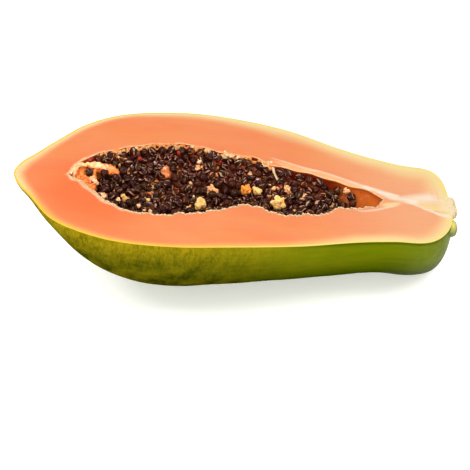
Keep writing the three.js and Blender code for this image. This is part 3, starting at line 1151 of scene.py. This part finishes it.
def cut_face(skin, far_side):
    """Half of the cut face, from the skin to the hollow's rim."""
    fine = np.linspace(0, 1, OUTLINE_POINTS)
    outline = np.concatenate([
        fruit_place(outline_along(fine), np.zeros(OUTLINE_POINTS), skin),
        fruit_place(outline_along(fine), np.full(OUTLINE_POINTS, np.pi), skin)])
    rims = np.concatenate([rim_place(rim_along(fine), 0.0), rim_place(rim_along(fine), 1.0)])

    def surface(s, t):
        outer = fruit_place(outline_along(s), np.full_like(s, np.pi * far_side), skin)
        inner = rim_place(rim_along(s), far_side)
        places = outer + (inner - outer) * ease(t, 0.3)[:, None]
        from_skin = nearest(places, outline)
        from_rim = nearest(places, rims)
        drop, width = lip(rim_along(s), far_side)
        rounding = np.maximum(1 - from_rim / width, 0)
        places[:, 2] = -drop * rounding**2
        settled = np.minimum(from_skin, from_rim) / 6
        places[:, 2] += 0.14 * np.minimum(settled, 1) * waves(places, 14, 3)
        fade = np.where(far_side > 0, rind_far(places[:, 0]), rind_near(places[:, 0]))
        return places, flesh_marks(
            len(places), rind=from_skin / fade, from_rim=from_rim,
            lining=lining_mask(places, from_rim, far_side),
            pale_vein=strand_mask(places, PALE_VEINS), yellow_vein=strand_mask(places, YELLOW_VEINS))

    return surface


def cavity_wall(s, t):
    """The hollow, from its near rim down and up to the far one."""
    along = rim_along(s)
    angle = np.pi * t
    middle, half_width, depth = cavity_at(along)
    level = np.column_stack([along, half_width * np.cos(angle), depth * np.sin(angle)])
    ridges = 0.55 * waves(level, 5, 5) + 0.25 * waves(level, 2, 6)
    inward = ridges * np.minimum(np.sin(angle) * 6, 1) * np.minimum(depth / 8, 1)
    half_width = np.maximum(half_width - inward, 0)
    drop = np.where(t < 0.5, lip(along, 0.0)[0], lip(along, 1.0)[0])
    down = (depth - inward * 0.5) * np.sin(angle) + drop * (1 - np.sin(angle))
    places = np.column_stack([along, middle - half_width * np.cos(angle), -down])
    from_rim = -np.hypot(half_width * (1 - np.abs(np.cos(angle))), depth * np.sin(angle))
    bare = np.maximum(smoothstep(along, 66, 84), smoothstep(along, -92, -103))
    return places, flesh_marks(len(s), rind=2.0, from_rim=from_rim, bare=bare)


def flesh_under(skin):
    """The outside of the flesh, which the skin covers."""
    def surface(s, t):
        return fruit_place(outline_along(s), np.pi * t, skin), flesh_marks(len(s), from_rim=50.0)

    return surface


class PAPAYA_OT_flesh(bpy.types.Operator):
    """Makes the flesh: the cut face, the hollow, and the side that the skin covers"""

    bl_idname = "papaya.flesh"
    bl_label = "Flesh"

    def execute(self, context):
        scene = context.scene
        skin = scene.papaya_sizes.skin_thickness / MM
        patches = [
            lay_grid("near cut face", FRUIT_COLUMNS, CUT_FACE_ROWS, cut_face(skin, 0.0)),
            lay_grid("far cut face", FRUIT_COLUMNS, CUT_FACE_ROWS, cut_face(skin, 1.0)),
            lay_grid("hollow", FRUIT_COLUMNS, HOLLOW_ROWS, cavity_wall),
            lay_grid("under skin", FRUIT_COLUMNS, INSIDE_ROWS, flesh_under(skin)),
        ]
        flesh = sew("papaya_flesh", patches)
        finish_piece(flesh, "flesh", flesh_material(scene.papaya_colours), replaces=("papaya_half",))
        return {"FINISHED"}


class PAPAYA_OT_skin(bpy.types.Operator):
    """Makes the skin: a thin shell whose cut edge shows round the flesh"""

    bl_idname = "papaya.skin"
    bl_label = "Skin"

    def execute(self, context):
        scene = context.scene
        thickness = scene.papaya_sizes.skin_thickness / MM

        def outside(s, t):
            return fruit_place(outline_along(s), np.pi * t), {}

        def inside(s, t):
            return fruit_place(outline_along(s), np.pi * t, thickness), {}

        def cut_edge(angle):
            def surface(s, t):
                outer = fruit_place(outline_along(s), np.full_like(s, angle))
                inner = fruit_place(outline_along(s), np.full_like(s, angle), thickness)
                return outer + (inner - outer) * t[:, None], {}
            return surface

        patches = [
            lay_grid("outside", FRUIT_COLUMNS, SKIN_ROWS, outside),
            lay_grid("inside", FRUIT_COLUMNS, INSIDE_ROWS, inside),
            lay_grid("near cut edge", FRUIT_COLUMNS, 1, cut_edge(0.0)),
            lay_grid("far cut edge", FRUIT_COLUMNS, 1, cut_edge(np.pi)),
        ]
        skin = sew("papaya_skin", patches)
        finish_piece(skin, "skin", skin_material(scene.papaya_colours), replaces=("papaya_half",))
        return {"FINISHED"}


# ------------------------------------------------------------------ stem remnant

# the stub left of the stalk: share of the way to its end, along, share of its radius
STUB_PROFILE = [
    (0.0, 148.5, 1.0),
    (0.45, 152.0, 0.97),
    (0.7, 153.9, 0.84),
    (0.85, 154.6, 0.6),
    (1.0, 154.6, 0.0),
]
STUB_RADIUS = 10.4
STUB_ACROSS = -1.5
STUB_PROUD = 0.05          # its flat top stands this far over the cut face
STUB_COLUMNS = 60
STUB_ROWS = 36
STUB_BACK_ROWS = 8
KNOB_MIDDLE = (148.0, -19.0, -6.4)
KNOB_RADII = (5.4, 7.6, 6.2)


def stub_profile(t):
    shares, reaches, widths = np.array(STUB_PROFILE).T
    return np.interp(t, shares, reaches), np.interp(t, shares, widths) * STUB_RADIUS


def stub_ring(reach, width, s):
    """Places on the half rings that hang under the stub's flat top."""
    angle = np.pi * s
    return np.column_stack([
        reach, STUB_ACROSS - width * np.cos(angle), STUB_PROUD - width * np.sin(angle)])


def stub_side(s, t):
    places = stub_ring(*stub_profile(t), s)
    places[:, 0] += 0.45 * waves(places, 3, 11) * smoothstep(t, 0.3, 0.7)
    return places, {}


def stub_top(s, t):
    near = stub_side(np.zeros_like(s), t)[0]
    far = stub_side(np.ones_like(s), t)[0]
    return near + (far - near) * s[:, None], {}


def stub_back(s, t):
    reach, width = stub_profile(np.zeros_like(t))
    return stub_ring(reach, width * t, s), {}


class PAPAYA_OT_stem(bpy.types.Operator):
    """Makes the stub left of the fruit's stalk, and the knob beside it"""

    bl_idname = "papaya.stem"
    bl_label = "Stem remnant"

    def execute(self, context):
        stub = sew("stem_stub", [
            lay_grid("side", STUB_COLUMNS, STUB_ROWS, stub_side),
            lay_grid("top", STUB_COLUMNS, STUB_ROWS, stub_top),
            lay_grid("back", STUB_COLUMNS, STUB_BACK_ROWS, stub_back)])
        finish_piece(stub, "flesh", stem_material())

        knob = copies("stem_knob", ball(5), np.array([KNOB_MIDDLE]), np.array([KNOB_RADII]),
                      np.eye(3)[None], np.zeros(1))
        roughen(knob.data, relief=0.0006, size=0.006, seed=4)
        finish_piece(knob, "skin", knob_material())
        return {"FINISHED"}


# ------------------------------------------------------------------ the seed bed and the seeds

# places without seeds, where orange pulp shows: along, across, radius
BARE_PATCHES = [
    (-47, 37, 5.5),
    (-54, 27, 4.5),
    (-57, 19, 3.5),
    (-95, 22, 5.5),
    (-87, 25.5, 4.5),
    (-96, 8, 4.5),
    (-10, 35, 2.5),
]
BARE_RISE = 1.6            # there the wet bed lies higher by this

# seeds that lie apart from the heap, or against the wall: along, across, rise
LONE_SEEDS = [
    (-100.6, 15.1, -4.6),
    (-95.1, 30.4, -3.6),
    (-86.7, 34.8, -3.6),
    (-80.9, 39.2, -3.8),
    (-72.8, 43.9, -4.0),
    (-68.5, 40.9, -4.5),
    (-77.5, 35.1, -6.0),
    (-73.2, 33.6, -7.0),
    (-89.7, 17.6, -6.5),
    (-81.6, 14.8, -8.0),
    (-77.7, 22.2, -7.0),
    (-88.9, 7.5, -8.0),
    (-89.5, 1.0, -8.0),
    (-83.9, -8.2, -6.0),
    (-79.7, 0.5, -8.0),
    (-13.5, 44.8, -3.4),
    (8.0, 39.2, -3.6),
    (65.0, 21.0, -8.0),
    (73.5, 15.6, -6.8),
    (71.3, 9.0, -8.5),
    (82.5, 8.0, -6.0),
    (82.0, 0.0, -5.5),
]
SEED_LOW = 2.4             # seeds lie from this far under the bed's level
SEED_HIGH = 2.0            # to this far over it
SEED_FROM_WALL = 2.9       # and their middles this far from the hollow's wall
CORE_DROP = 3.0            # the wet bed lies this far under the seeds' level
BED_GAP = 0.5              # and this far from the hollow's wall
BED_START = SEED_RANGE[0] + 1
BED_END = SEED_RANGE[1] + 4
BED_COLUMNS = 170
BED_ROWS = 60
HEAP_START = -91.5         # the heap begins here; further on only lone seeds lie
HEAP_ROW_STEP = 0.87       # from one row of seeds to the next, in seed widths
STRAND_ALONG = 28.5        # here the strand of pulp hangs from the far edge
STRAND_CLEARING = [(28.8, 31.0, 3.4), (30.2, 26.5, 3.0)]
LUMPS = YELLOW_LUMPS + ORANGE_LUMPS + BRIGHT_LUMPS + PALE_LUMPS
KEPT_CLEAR = (BARE_PATCHES + LUMPS + [(along, across, radius) for along, across, _, radius in WALL_LUMPS]
              + STRAND_CLEARING)

# the row of seeds under the hollow's far edge
ROW_START = -98
ROW_END = 62
ROW_COUNT = 30
ROW_STEP = (5.6, 7.8)
ROW_DEPTH = 3.2
ROW_INSET = 3.1
ROW_OFF_STRAND = 3.7

SETTLING_TURNS = 140       # turns in which the seeds push each other apart
SINKING_TURNS = 110        # and of these, the ones in which they sink as well
SINKING = 0.10
PUSH = 0.35                # share of an overlap that one turn takes away


def heap_of_seeds(sizes, random):
    """The heap before it settles: seeds in staggered rows over the hollow, and some thrown on top."""
    step = sizes.seed_width / MM
    rows = np.arange(HEAP_START, SEED_RANGE[1], step * HEAP_ROW_STEP)
    laid = np.array([(along, across) for i, along in enumerate(rows)
                     for across in np.arange(-40 + (i % 2) * step / 2, 60, step)])
    middle, half_width, _ = cavity_at(laid[:, 0])
    laid = laid[np.abs(laid[:, 1] - middle) < half_width]
    thrown_along = random.uniform(HEAP_START, SEED_RANGE[1], size=sizes.seeds_on_top)
    middle, half_width, _ = cavity_at(thrown_along)
    thrown_across = middle + half_width * random.uniform(-1, 1, len(middle))
    laid = laid + random.normal(0, 1.0, laid.shape)
    along, across = np.vstack([laid, np.column_stack([thrown_along, thrown_across])]).T
    along = np.clip(along, HEAP_START, SEED_RANGE[1])
    middle, half_width, _ = cavity_at(along)
    level = -seed_bed_depth(along, (across - middle) / half_width)
    return np.column_stack([along, across, level + random.uniform(-SEED_LOW, SEED_HIGH, len(along))])


def row_of_seeds(random):
    """The seeds side by side under the hollow's far edge, but not where the strand hangs."""
    along = np.cumsum(random.uniform(*ROW_STEP, ROW_COUNT)) + ROW_START
    along = along[(along < ROW_END) & (np.abs(along - STRAND_ALONG) > ROW_OFF_STRAND)]
    depth = ROW_DEPTH + random.uniform(0, 1.2, len(along))
    return np.column_stack([along, cavity_far_edge(along) - ROW_INSET, -depth])


def push_apart(places, need):
    """Moves seeds that overlap away from each other. need: how far apart each two have to be."""
    gap = places[:, None] - places[None]
    distance = np.linalg.norm(gap, axis=-1) + np.eye(len(places)) * 99
    overlap = np.maximum(need - distance, 0)
    places += (gap / distance[..., None] * overlap[..., None]).sum(1) * PUSH


def push_off_clearings(places):
    """Moves seeds off the lumps of pulp and the bare patches."""
    for spot_along, spot_across, radius in KEPT_CLEAR:
        off = places[:, :2] - (spot_along, spot_across)
        far = np.linalg.norm(off, axis=1)
        close = far < radius
        places[close, :2] += off[close] * ((radius - far[close]) / (far[close] + 0.01))[:, None]


def push_into_hollow(places):
    """Moves seeds back to the heap's level, under the cut face and off the hollow's wall."""
    places[:, 0] = np.clip(places[:, 0], HEAP_START, SEED_RANGE[1])
    middle, half_width, depth = cavity_at(places[:, 0])
    side = (places[:, 1] - middle) / half_width
    level = -seed_bed_depth(places[:, 0], side)
    places[:, 2] = np.clip(places[:, 2], level - SEED_LOW, level + SEED_HIGH)
    places[:, 2] = np.minimum(places[:, 2], -SEED_LEAST_DEPTH)
    reach = np.hypot(side, places[:, 2] / depth)
    allowed = 1 - SEED_FROM_WALL / np.minimum(half_width, depth)
    shrink = np.minimum(np.maximum(allowed, 0.02) / reach, 1)
    places[:, 1] = middle + (places[:, 1] - middle) * shrink
    places[:, 2] *= shrink


def pile_of_seeds(sizes, random):
    """Middles and widths of the seeds: laid over the hollow, then settled until they lie loosely."""
    heap = heap_of_seeds(sizes, random)
    fixed = np.vstack([row_of_seeds(random), np.array(LONE_SEEDS)])
    places = np.vstack([fixed, heap])
    girth = sizes.seed_width / MM * random.uniform(0.93, 1.07, len(places))
    need = (girth[:, None] + girth[None]) / 2
    for turn in range(SETTLING_TURNS):
        push_apart(places, need)
        places[:, 2] -= SINKING if turn < SINKING_TURNS else 0.0
        push_off_clearings(places)
        push_into_hollow(places)
        places[:len(fixed)] = fixed
    return places, girth


def seed_shape():
    """A ball that is a little narrower toward one end."""
    places, faces = ball(2)
    return places * (1 - 0.1 * places[:, :1]), faces


def bed_section(s, t):
    """The wet bed: places along and across, the depth of its top and of the wall under it, and
    how far from its edge: 0 at the edge, 1 away from it."""
    along = BED_START + (BED_END - BED_START) * s
    middle, half_width, depth = cavity_at(along)
    drop = SEED_BED_RIM_DROP + CORE_DROP + SEED_BED_FALL_DEPTH * smoothstep(along, *SEED_BED_FALL)
    hollow = SEED_BED_HOLLOW * depth
    under = np.maximum(depth**2 - 4 * hollow * drop, 0)
    meets_wall = np.clip((depth - np.sqrt(under)) / (2 * hollow), 0, 0.98)
    depth = depth - BED_GAP
    side = (2 * t - 1) * np.sqrt(1 - meets_wall**2)
    down = np.minimum(drop + hollow * (1 - side**2), depth - 0.3)
    wall = depth * np.sqrt(np.maximum(1 - side**2, 0))
    return along, middle + side * (half_width - BED_GAP), down, wall, 1 - np.abs(2 * t - 1) ** 6


def bed_top(s, t):
    along, across, down, _, off_edge = bed_section(s, t)
    places = np.column_stack([along, across, -down])
    places[:, 2] += (0.9 * waves(places, 4.5, 21) + 0.4 * waves(places, 1.8, 22)) * off_edge
    bare = np.zeros(len(places))
    for spot_along, spot_across, radius in BARE_PATCHES:
        off = np.hypot(places[:, 0] - spot_along, places[:, 1] - spot_across)
        bare = np.maximum(bare, 1 - smoothstep(off, 0.5 * radius, 1.3 * radius))
    places[:, 2] += BARE_RISE * bare * off_edge
    return places, {"bare": bare}


def bed_bottom(s, t):
    along, across, down, wall, off_edge = bed_section(s, t)
    return np.column_stack([along, across, -(down + np.maximum(wall - down, 0.3) * off_edge)]), {}


def bed_end(share):
    """An end of the bed, from its top to its bottom."""
    def surface(s, t):
        here = np.full_like(s, share)
        high, low = bed_top(here, t)[0], bed_bottom(here, t)[0]
        return high + (low - high) * s[:, None], {}

    return surface


class PAPAYA_OT_seeds(bpy.types.Operator):
    """Lays the seeds in the hollow, in three kinds, and the wet bed under them"""

    bl_idname = "papaya.seeds"
    bl_label = "Seeds and seed bed"

    def execute(self, context):
        scene = context.scene
        sizes, colours = scene.papaya_sizes, scene.papaya_colours
        random = np.random.default_rng(11)
        middles, girth = pile_of_seeds(sizes, random)
        count = len(middles)
        longer = sizes.seed_length / sizes.seed_width
        grown = np.column_stack([
            girth / 2 * longer * random.uniform(0.95, 1.08, count),
            girth / 2, girth / 2 * random.uniform(0.93, 1.02, count)])
        turns = random_turns(random, count)
        tints = random.uniform(0, 1, count)
        shape = seed_shape()
        # each kind: name, share of the seeds up to it, colour, its stripes' colour and share (pale ridges
        # with painted highlights), sheen
        kinds = [
            ("seeds_dark", 0.58, tuple(colours.seed_dark), "#c89072", 0.9, 0.0),
            ("seeds_brown", 0.84, tuple(colours.seed_brown), "#cc8c58", 0.85, 0.02),
            ("seeds_grey", 1.0, colour("#46220e"), "#d8b08c", 0.7, 0.02),
        ]
        draw = random.uniform(0, 1, count)
        low = 0.0
        for name, high, base, light, share, sheen in kinds:
            chosen = (draw >= low) & (draw < high)
            piece = copies(name, shape, middles[chosen], grown[chosen], turns[chosen], tints[chosen])
            material = seed_material(name.replace("_", " "), base, colour(light, HOLLOW_LEVEL), share, sheen)
            finish_piece(piece, "seeds", material, replaces=("seed_mass",))
            low = high

        bed = sew("seed_bed", [
            lay_grid("bed top", BED_COLUMNS, BED_ROWS, bed_top),
            lay_grid("bed bottom", BED_COLUMNS, BED_ROWS, bed_bottom),
            lay_grid("bed tip end", 2, BED_ROWS, bed_end(0.0)),
            lay_grid("bed stem end", 2, BED_ROWS, bed_end(1.0))])
        finish_piece(bed, "pulp", bed_material(), replaces=("seed_mass",))
        return {"FINISHED"}


# ------------------------------------------------------------------ pulp

# where bits of pulp are scattered: from and to, along
EDGE_PULP_RANGE = (-97, 27)
CRUMB_RANGE = (-92, 72)
PAD_RANGE = (-111, -96)    # the pad under the first seeds
PAD_DEPTH = 7.2            # it lies no deeper than this
BANK_RANGE = (-98, -83)    # the bank beside the pad
BANK_ACROSS = (19, 27)
BANK_TOP = -4.6            # its rise at the corner toward the tip and the far edge
BANK_FALL_ALONG = 0.16     # and how steeply it falls from there
BANK_FALL_ACROSS = 0.12
LINING_COLUMNS = 900
LINING_ROWS = 8


def bed_level(along, across):
    """Height of the seeds' level at one place."""
    middle, half_width, _ = cavity_at(along)
    return float(-seed_bed_depth(along, (across - middle) / half_width))


def between_rows(table, count):
    """Rows spread evenly from the first row of a table to its last."""
    rows = np.array(table, float)
    steps = np.linspace(0, len(rows) - 1, count)
    return np.column_stack([np.interp(steps, range(len(rows)), column) for column in rows.T])


def unturned(count):
    return np.eye(3)[None].repeat(count, 0)


def ridge_bits(random):
    """Bits that melt into the pale ridge in the hollow's tip: middles and radii."""
    count = 90
    line = between_rows(POCKET_RIDGE, count)
    spread = 0.5 + 1.2 * smoothstep(line[:, 0], -104, -94)
    line[:, 1] += random.uniform(-1, 1, count) * spread
    line[:, 2] += random.uniform(-0.8, 0.4, count)
    return line[:, :3], line[:, 3] * random.uniform(0.75, 1.15, count)


def pad_bits(random):
    """Bits that melt into the pad under the first seeds, and the bank beside it."""
    count = 260
    along = random.uniform(*PAD_RANGE, count)
    middle, half_width, depth = cavity_at(along)
    side = random.uniform(-0.85, 0.85, count)
    bowl = depth * np.sqrt(1 - side * side)
    pad = np.column_stack([along, middle + side * half_width, -np.minimum(bowl - 0.4, PAD_DEPTH)])
    count = 110
    along = random.uniform(*BANK_RANGE, count)
    across = random.uniform(*BANK_ACROSS, count)
    rise = (BANK_TOP - BANK_FALL_ALONG * (along - BANK_RANGE[0])
            - BANK_FALL_ACROSS * (BANK_ACROSS[1] - across))
    bank = np.column_stack([along, across, rise])
    middles = np.vstack([pad, bank])
    return middles, random.uniform(0.9, 1.7, len(middles))


class PAPAYA_OT_pulp(bpy.types.Operator):
    """Makes the pulp: yellow lumps, the grainy edge of the hollow, crumbs, strands and juice"""

    bl_idname = "papaya.pulp"
    bl_label = "Pulp, lining and juice"

    def lumps(self, name, spots, pale, deep, seed, random, replaces=("seed_mass",)):
        """Jagged lumps of pulp, each melted from a handful of bits. spots: place and radius."""
        middles, radii = [], []
        for along, across, rise, radius in spots:
            middles.append((along, across, rise))
            radii.append(0.6 * radius)
            bits = int(random.integers(14, 20))
            for i in range(bits):
                turn = 2 * math.pi * (i + random.uniform(0, 0.9)) / bits
                reach = radius * random.uniform(0.25, 0.75)
                middles.append((along + reach * math.cos(turn), across + reach * math.sin(turn),
                                rise + random.uniform(-0.5, 0.7) * radius))
                radii.append(radius * random.uniform(0.22, 0.4))
        radii = np.array(radii)
        sizes = radii[:, None] * random.uniform(0.8, 1.5, (len(radii), 3))
        piece = copies(name, ball(3), np.array(middles), sizes,
                       random_turns(random, len(radii)), random.uniform(0, 1, len(radii)))
        melt(piece, voxel=0.00032, relief=0.00055, relief_size=0.0013, seed=seed)
        material = pulp_material(name.replace("_", " "), pale, deep, scale=330, wet=0.3, glow=0.3)
        finish_piece(piece, "pulp", material, replaces=replaces)

    def edge_pulp(self, random):
        """The grainy, torn tissue along the far edge of the hollow."""
        count = 260
        along = random.uniform(*EDGE_PULP_RANGE, count)
        middle, half_width, _ = cavity_at(along)
        inward = random.uniform(-0.2, 2.4, count)
        deep = 0.9 + 0.9 * inward + random.uniform(-0.5, 1.6, count)
        middles = np.column_stack([along, middle + half_width - inward, -deep])
        radii = random.uniform(0.5, 1.15, count)
        sizes = np.column_stack([radii * random.uniform(1.0, 2.2, count), radii, radii])
        piece = copies("edge_pulp", ball(2), middles, sizes, unturned(count), random.uniform(0, 1, count))
        melt(piece, voxel=0.0004, relief=0.0004, relief_size=0.0014, seed=41)
        material = pulp_material("edge pulp", colour("#ffb860"), colour("#ec6c1c"),
                                 scale=240, wet=0.3, glow=0.3)
        finish_piece(piece, "pulp", material)

    def tip_pocket(self, random):
        """Pale tissue in the shallow tip of the hollow: a ridge, and a pad under the first seeds."""
        ridge, ridge_radii = ridge_bits(random)
        pad, pad_radii = pad_bits(random)
        middles = np.vstack([ridge, pad])
        radii = np.concatenate([ridge_radii, pad_radii])
        count = len(radii)
        sizes = radii[:, None] * random.uniform(0.8, 1.25, (count, 3))
        piece = copies("tip_pocket", ball(2), middles, sizes, random_turns(random, count),
                       random.uniform(0, 1, count))
        melt(piece, voxel=0.00042, relief=0.0005, relief_size=0.0022, seed=51)
        finish_piece(piece, "pulp", pocket_material())

    def crumbs(self, random):
        """Bits of pulp scattered among the seeds."""
        count = 64
        along = random.uniform(*CRUMB_RANGE, count)
        side = random.uniform(-0.92, 0.92, count)
        middle, half_width, _ = cavity_at(along)
        level = -seed_bed_depth(along, side) + random.uniform(-0.5, 2.2, count)
        middles = np.column_stack([along, middle + side * half_width, level])
        radii = random.uniform(0.5, 1.5, count)
        sizes = np.column_stack([radii * random.uniform(1, 1.6, count), radii,
                                 radii * random.uniform(0.6, 1, count)])
        piece = copies("pulp_crumbs", ball(2), middles, sizes, random_turns(random, count),
                       random.uniform(0, 1, count))
        roughen(piece.data, relief=0.0004, size=0.0011, seed=9)
        material = pulp_material(
            "pulp crumbs", colour("#f8c080", HOLLOW_LEVEL), colour("#a83c10", HOLLOW_LEVEL),
            scale=160, wet=0.5, glow=0.3)
        finish_piece(piece, "pulp", material, replaces=("seed_mass",))

    def lining(self, sizes):
        """The thin pale membrane that stands up round the hollow's near rim."""
        half = sizes.lining_width / MM / 2

        def surface(s, t):
            along = RIM_TIP + 0.5 + (RIM_STEM - RIM_TIP - 2) * s
            rim = rim_place(along, 0.0)
            taper = np.minimum(smoothstep(s, 0, 0.02), 1 - smoothstep(s, 0.94, 1))
            drift = 0.35 * np.sin(along * 0.9 + 1.7 * np.sin(along * 0.23))
            width = half * (0.75 + 0.4 * np.sin(along * 1.9 + 2 * np.sin(along * 0.37))) * taper
            turn = 2 * np.pi * t
            return np.column_stack([
                along, rim[:, 1] + drift - 0.1 + width * np.cos(turn),
                rim[:, 2] + 0.42 + 0.42 * taper * np.sin(turn)]), {}

        piece = sew("hollow_lining", [lay_grid("lining", LINING_COLUMNS, LINING_ROWS, surface)], crease=80)
        roughen(piece.data, relief=0.0001, size=0.0015, seed=71)
        material = pulp_material("pale lining", colour("#fee2b6"), colour("#f9bf86"),
                                 scale=500, wet=0.2, glow=0.3)
        finish_piece(piece, "pulp", material)

    def strand(self):
        """One thread of pulp that hangs from the far edge onto the seeds."""
        count = 70
        line = between_rows(HANGING_STRAND, count)
        piece = copies("hanging_strand", ball(2), line[:, :3], np.repeat(line[:, 3:], 3, 1),
                       unturned(count), np.zeros(count))
        melt(piece, voxel=0.0003, relief=0.0002, relief_size=0.0015, seed=61)
        material = pulp_material("strand", colour("#fce2b4"), colour("#f8c17c"),
                                 scale=300, wet=0.4, glow=0.35)
        finish_piece(piece, "pulp", material)

    def juice(self, colours, random):
        """Clear red beads between the seeds by the far edge."""
        table = np.array(JUICE_BEADS, float)
        radii = table[:, 3]
        sizes = np.column_stack([radii, radii * 1.05, radii * 0.85])
        piece = copies("juice_beads", ball(3), table[:, :3], sizes, random_turns(random, len(radii)),
                       random.uniform(0, 1, len(radii)))
        roughen(piece.data, relief=0.0004, size=0.003, seed=81)
        material = pulp_material("red juice", tuple(colours.juice), colour("#7c1004"),
                                 scale=500, wet=0.15, glow=0.4)
        finish_piece(piece, "pulp", material)

    def execute(self, context):
        scene = context.scene
        sizes, colours = scene.papaya_sizes, scene.papaya_colours
        random = np.random.default_rng(23)
        brighter = STUDIO_LEVEL / HOLLOW_LEVEL
        kinds = (
            ("yellow_lumps", YELLOW_LUMPS, tuple(brighter * x for x in colours.pulp),
             colour("#f09c3c", HOLLOW_LEVEL), 31),
            ("orange_lumps", ORANGE_LUMPS, colour("#f8c284", HOLLOW_LEVEL),
             colour("#c86420", HOLLOW_LEVEL), 33),
            ("bright_lump", BRIGHT_LUMPS, colour("#ffac44", HOLLOW_LEVEL),
             colour("#f07010", HOLLOW_LEVEL), 34),
            ("pale_lumps", PALE_LUMPS, colour("#fedcb8", HOLLOW_LEVEL),
             colour("#f0a070", HOLLOW_LEVEL), 35),
        )
        for name, lumps, pale, deep, seed in kinds:
            spots = [(along, across, bed_level(along, across) + 0.3 * radius, radius)
                     for along, across, radius in lumps]
            self.lumps(name, spots, pale, deep, seed, random)
        self.lumps("wall_lumps", WALL_LUMPS, colour("#fcd0a0", HOLLOW_LEVEL),
                   colour("#e08040", HOLLOW_LEVEL), 39, random)
        self.lumps("edge_clumps", EDGE_CLUMPS, colour("#fedaa0"), colour("#faa450"), 37, random, ())
        self.edge_pulp(random)
        self.tip_pocket(random)
        self.crumbs(random)
        self.lining(sizes)
        self.strand()
        self.juice(colours, random)
        return {"FINISHED"}


# ------------------------------------------------------------------ floor, light and camera

# name, place, width, length and power of each light
LIGHTS = [
    ("left strip", (-0.42, -0.16, 0.85), 0.07, 0.7, 6.0),
    ("right strip", (0.42, -0.20, 0.85), 0.07, 0.7, 4.0),
    ("front light", (0.10, -1.20, 0.50), 1.2, 0.5, 14.0),
]
LIGHTS_AIM = Vector((0, 0, 0.04))
CAMERA_AIM = Vector((-0.0033, -0.0192, 0.035))
CAMERA_AZIMUTH = math.radians(-3)
CAMERA_ELEVATION = math.radians(38.73)
CAMERA_DISTANCE = 0.9096


def add_sky(scene):
    """White light from all round, weaker toward the horizon."""
    world = bpy.data.worlds.new("studio")
    scene.world = world
    world.use_nodes = True
    tree = world.node_tree
    background = tree.nodes["Background"]
    background.inputs["Color"].default_value = (1.0, 1.0, 1.0, 1)
    height = parts_of(tree, tree.nodes.new("ShaderNodeTexCoord").outputs["Generated"])[2]
    put(tree, background.inputs["Strength"], span(tree, height, 0.0, 1.0, 0.6, 1.0))


def add_lights(scene):
    for name, place, width, length, power in LIGHTS:
        light = bpy.data.lights.new(name, "AREA")
        light.shape = "RECTANGLE"
        light.size = width
        light.size_y = length
        light.energy = power
        lamp = bpy.data.objects.new(name, light)
        lamp.location = place
        lamp.rotation_euler = (LIGHTS_AIM - Vector(place)).to_track_quat("-Z", "Y").to_euler()
        scene.collection.objects.link(lamp)


def add_camera(scene):
    level = math.cos(CAMERA_ELEVATION)
    back = Vector((math.sin(CAMERA_AZIMUTH) * level, -math.cos(CAMERA_AZIMUTH) * level,
                   math.sin(CAMERA_ELEVATION)))
    camera = bpy.data.cameras.new("camera")
    camera.lens = 100
    camera.sensor_width = 36
    camera.clip_end = 20
    eye = bpy.data.objects.new("camera", camera)
    eye.location = CAMERA_AIM + back * CAMERA_DISTANCE
    eye.rotation_euler = (-back).to_track_quat("-Z", "Y").to_euler()
    scene.collection.objects.link(eye)
    scene.camera = eye


class PAPAYA_OT_stage(bpy.types.Operator):
    """Adds the floor, the lights and the camera"""

    bl_idname = "papaya.stage"
    bl_label = "Floor, light and camera"

    def execute(self, context):
        scene = context.scene
        start_afresh()
        bpy.ops.mesh.primitive_plane_add(size=scene.papaya_sizes.floor_width)
        floor = context.object
        floor.name = "floor"
        floor.data.materials.append(floor_material())
        add_sky(scene)
        add_lights(scene)
        add_camera(scene)
        scene.view_settings.view_transform = "Standard"
        return {"FINISHED"}


class PAPAYA_PT_panel(bpy.types.Panel):
    bl_label = "Papaya half"
    bl_idname = "PAPAYA_PT_panel"
    bl_space_type = "VIEW_3D"
    bl_region_type = "UI"
    bl_category = "Papaya"

    def draw(self, context):
        layout = self.layout
        for settings in (context.scene.papaya_sizes, context.scene.papaya_colours):
            for name in settings.__annotations__:
                layout.prop(settings, name)
        for operator in OPERATORS:
            layout.operator(operator.bl_idname)


OPERATORS = (
    PAPAYA_OT_stage,
    PAPAYA_OT_flesh,
    PAPAYA_OT_skin,
    PAPAYA_OT_stem,
    PAPAYA_OT_seeds,
    PAPAYA_OT_pulp,
)
CLASSES = (PapayaSizes, PapayaColours, *OPERATORS, PAPAYA_PT_panel)


def register():
    for cls in CLASSES:
        bpy.utils.register_class(cls)
    bpy.types.Scene.papaya_sizes = PointerProperty(type=PapayaSizes)
    bpy.types.Scene.papaya_colours = PointerProperty(type=PapayaColours)


def unregister():
    del bpy.types.Scene.papaya_colours
    del bpy.types.Scene.papaya_sizes
    for cls in reversed(CLASSES):
        bpy.utils.unregister_class(cls)


def main():
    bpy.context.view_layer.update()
    register()
    bpy.ops.papaya.stage()
    bpy.ops.papaya.flesh()
    bpy.ops.papaya.skin()
    bpy.ops.papaya.stem()
    bpy.ops.papaya.seeds()
    bpy.ops.papaya.pulp()


if __name__ == "__main__":
    main()
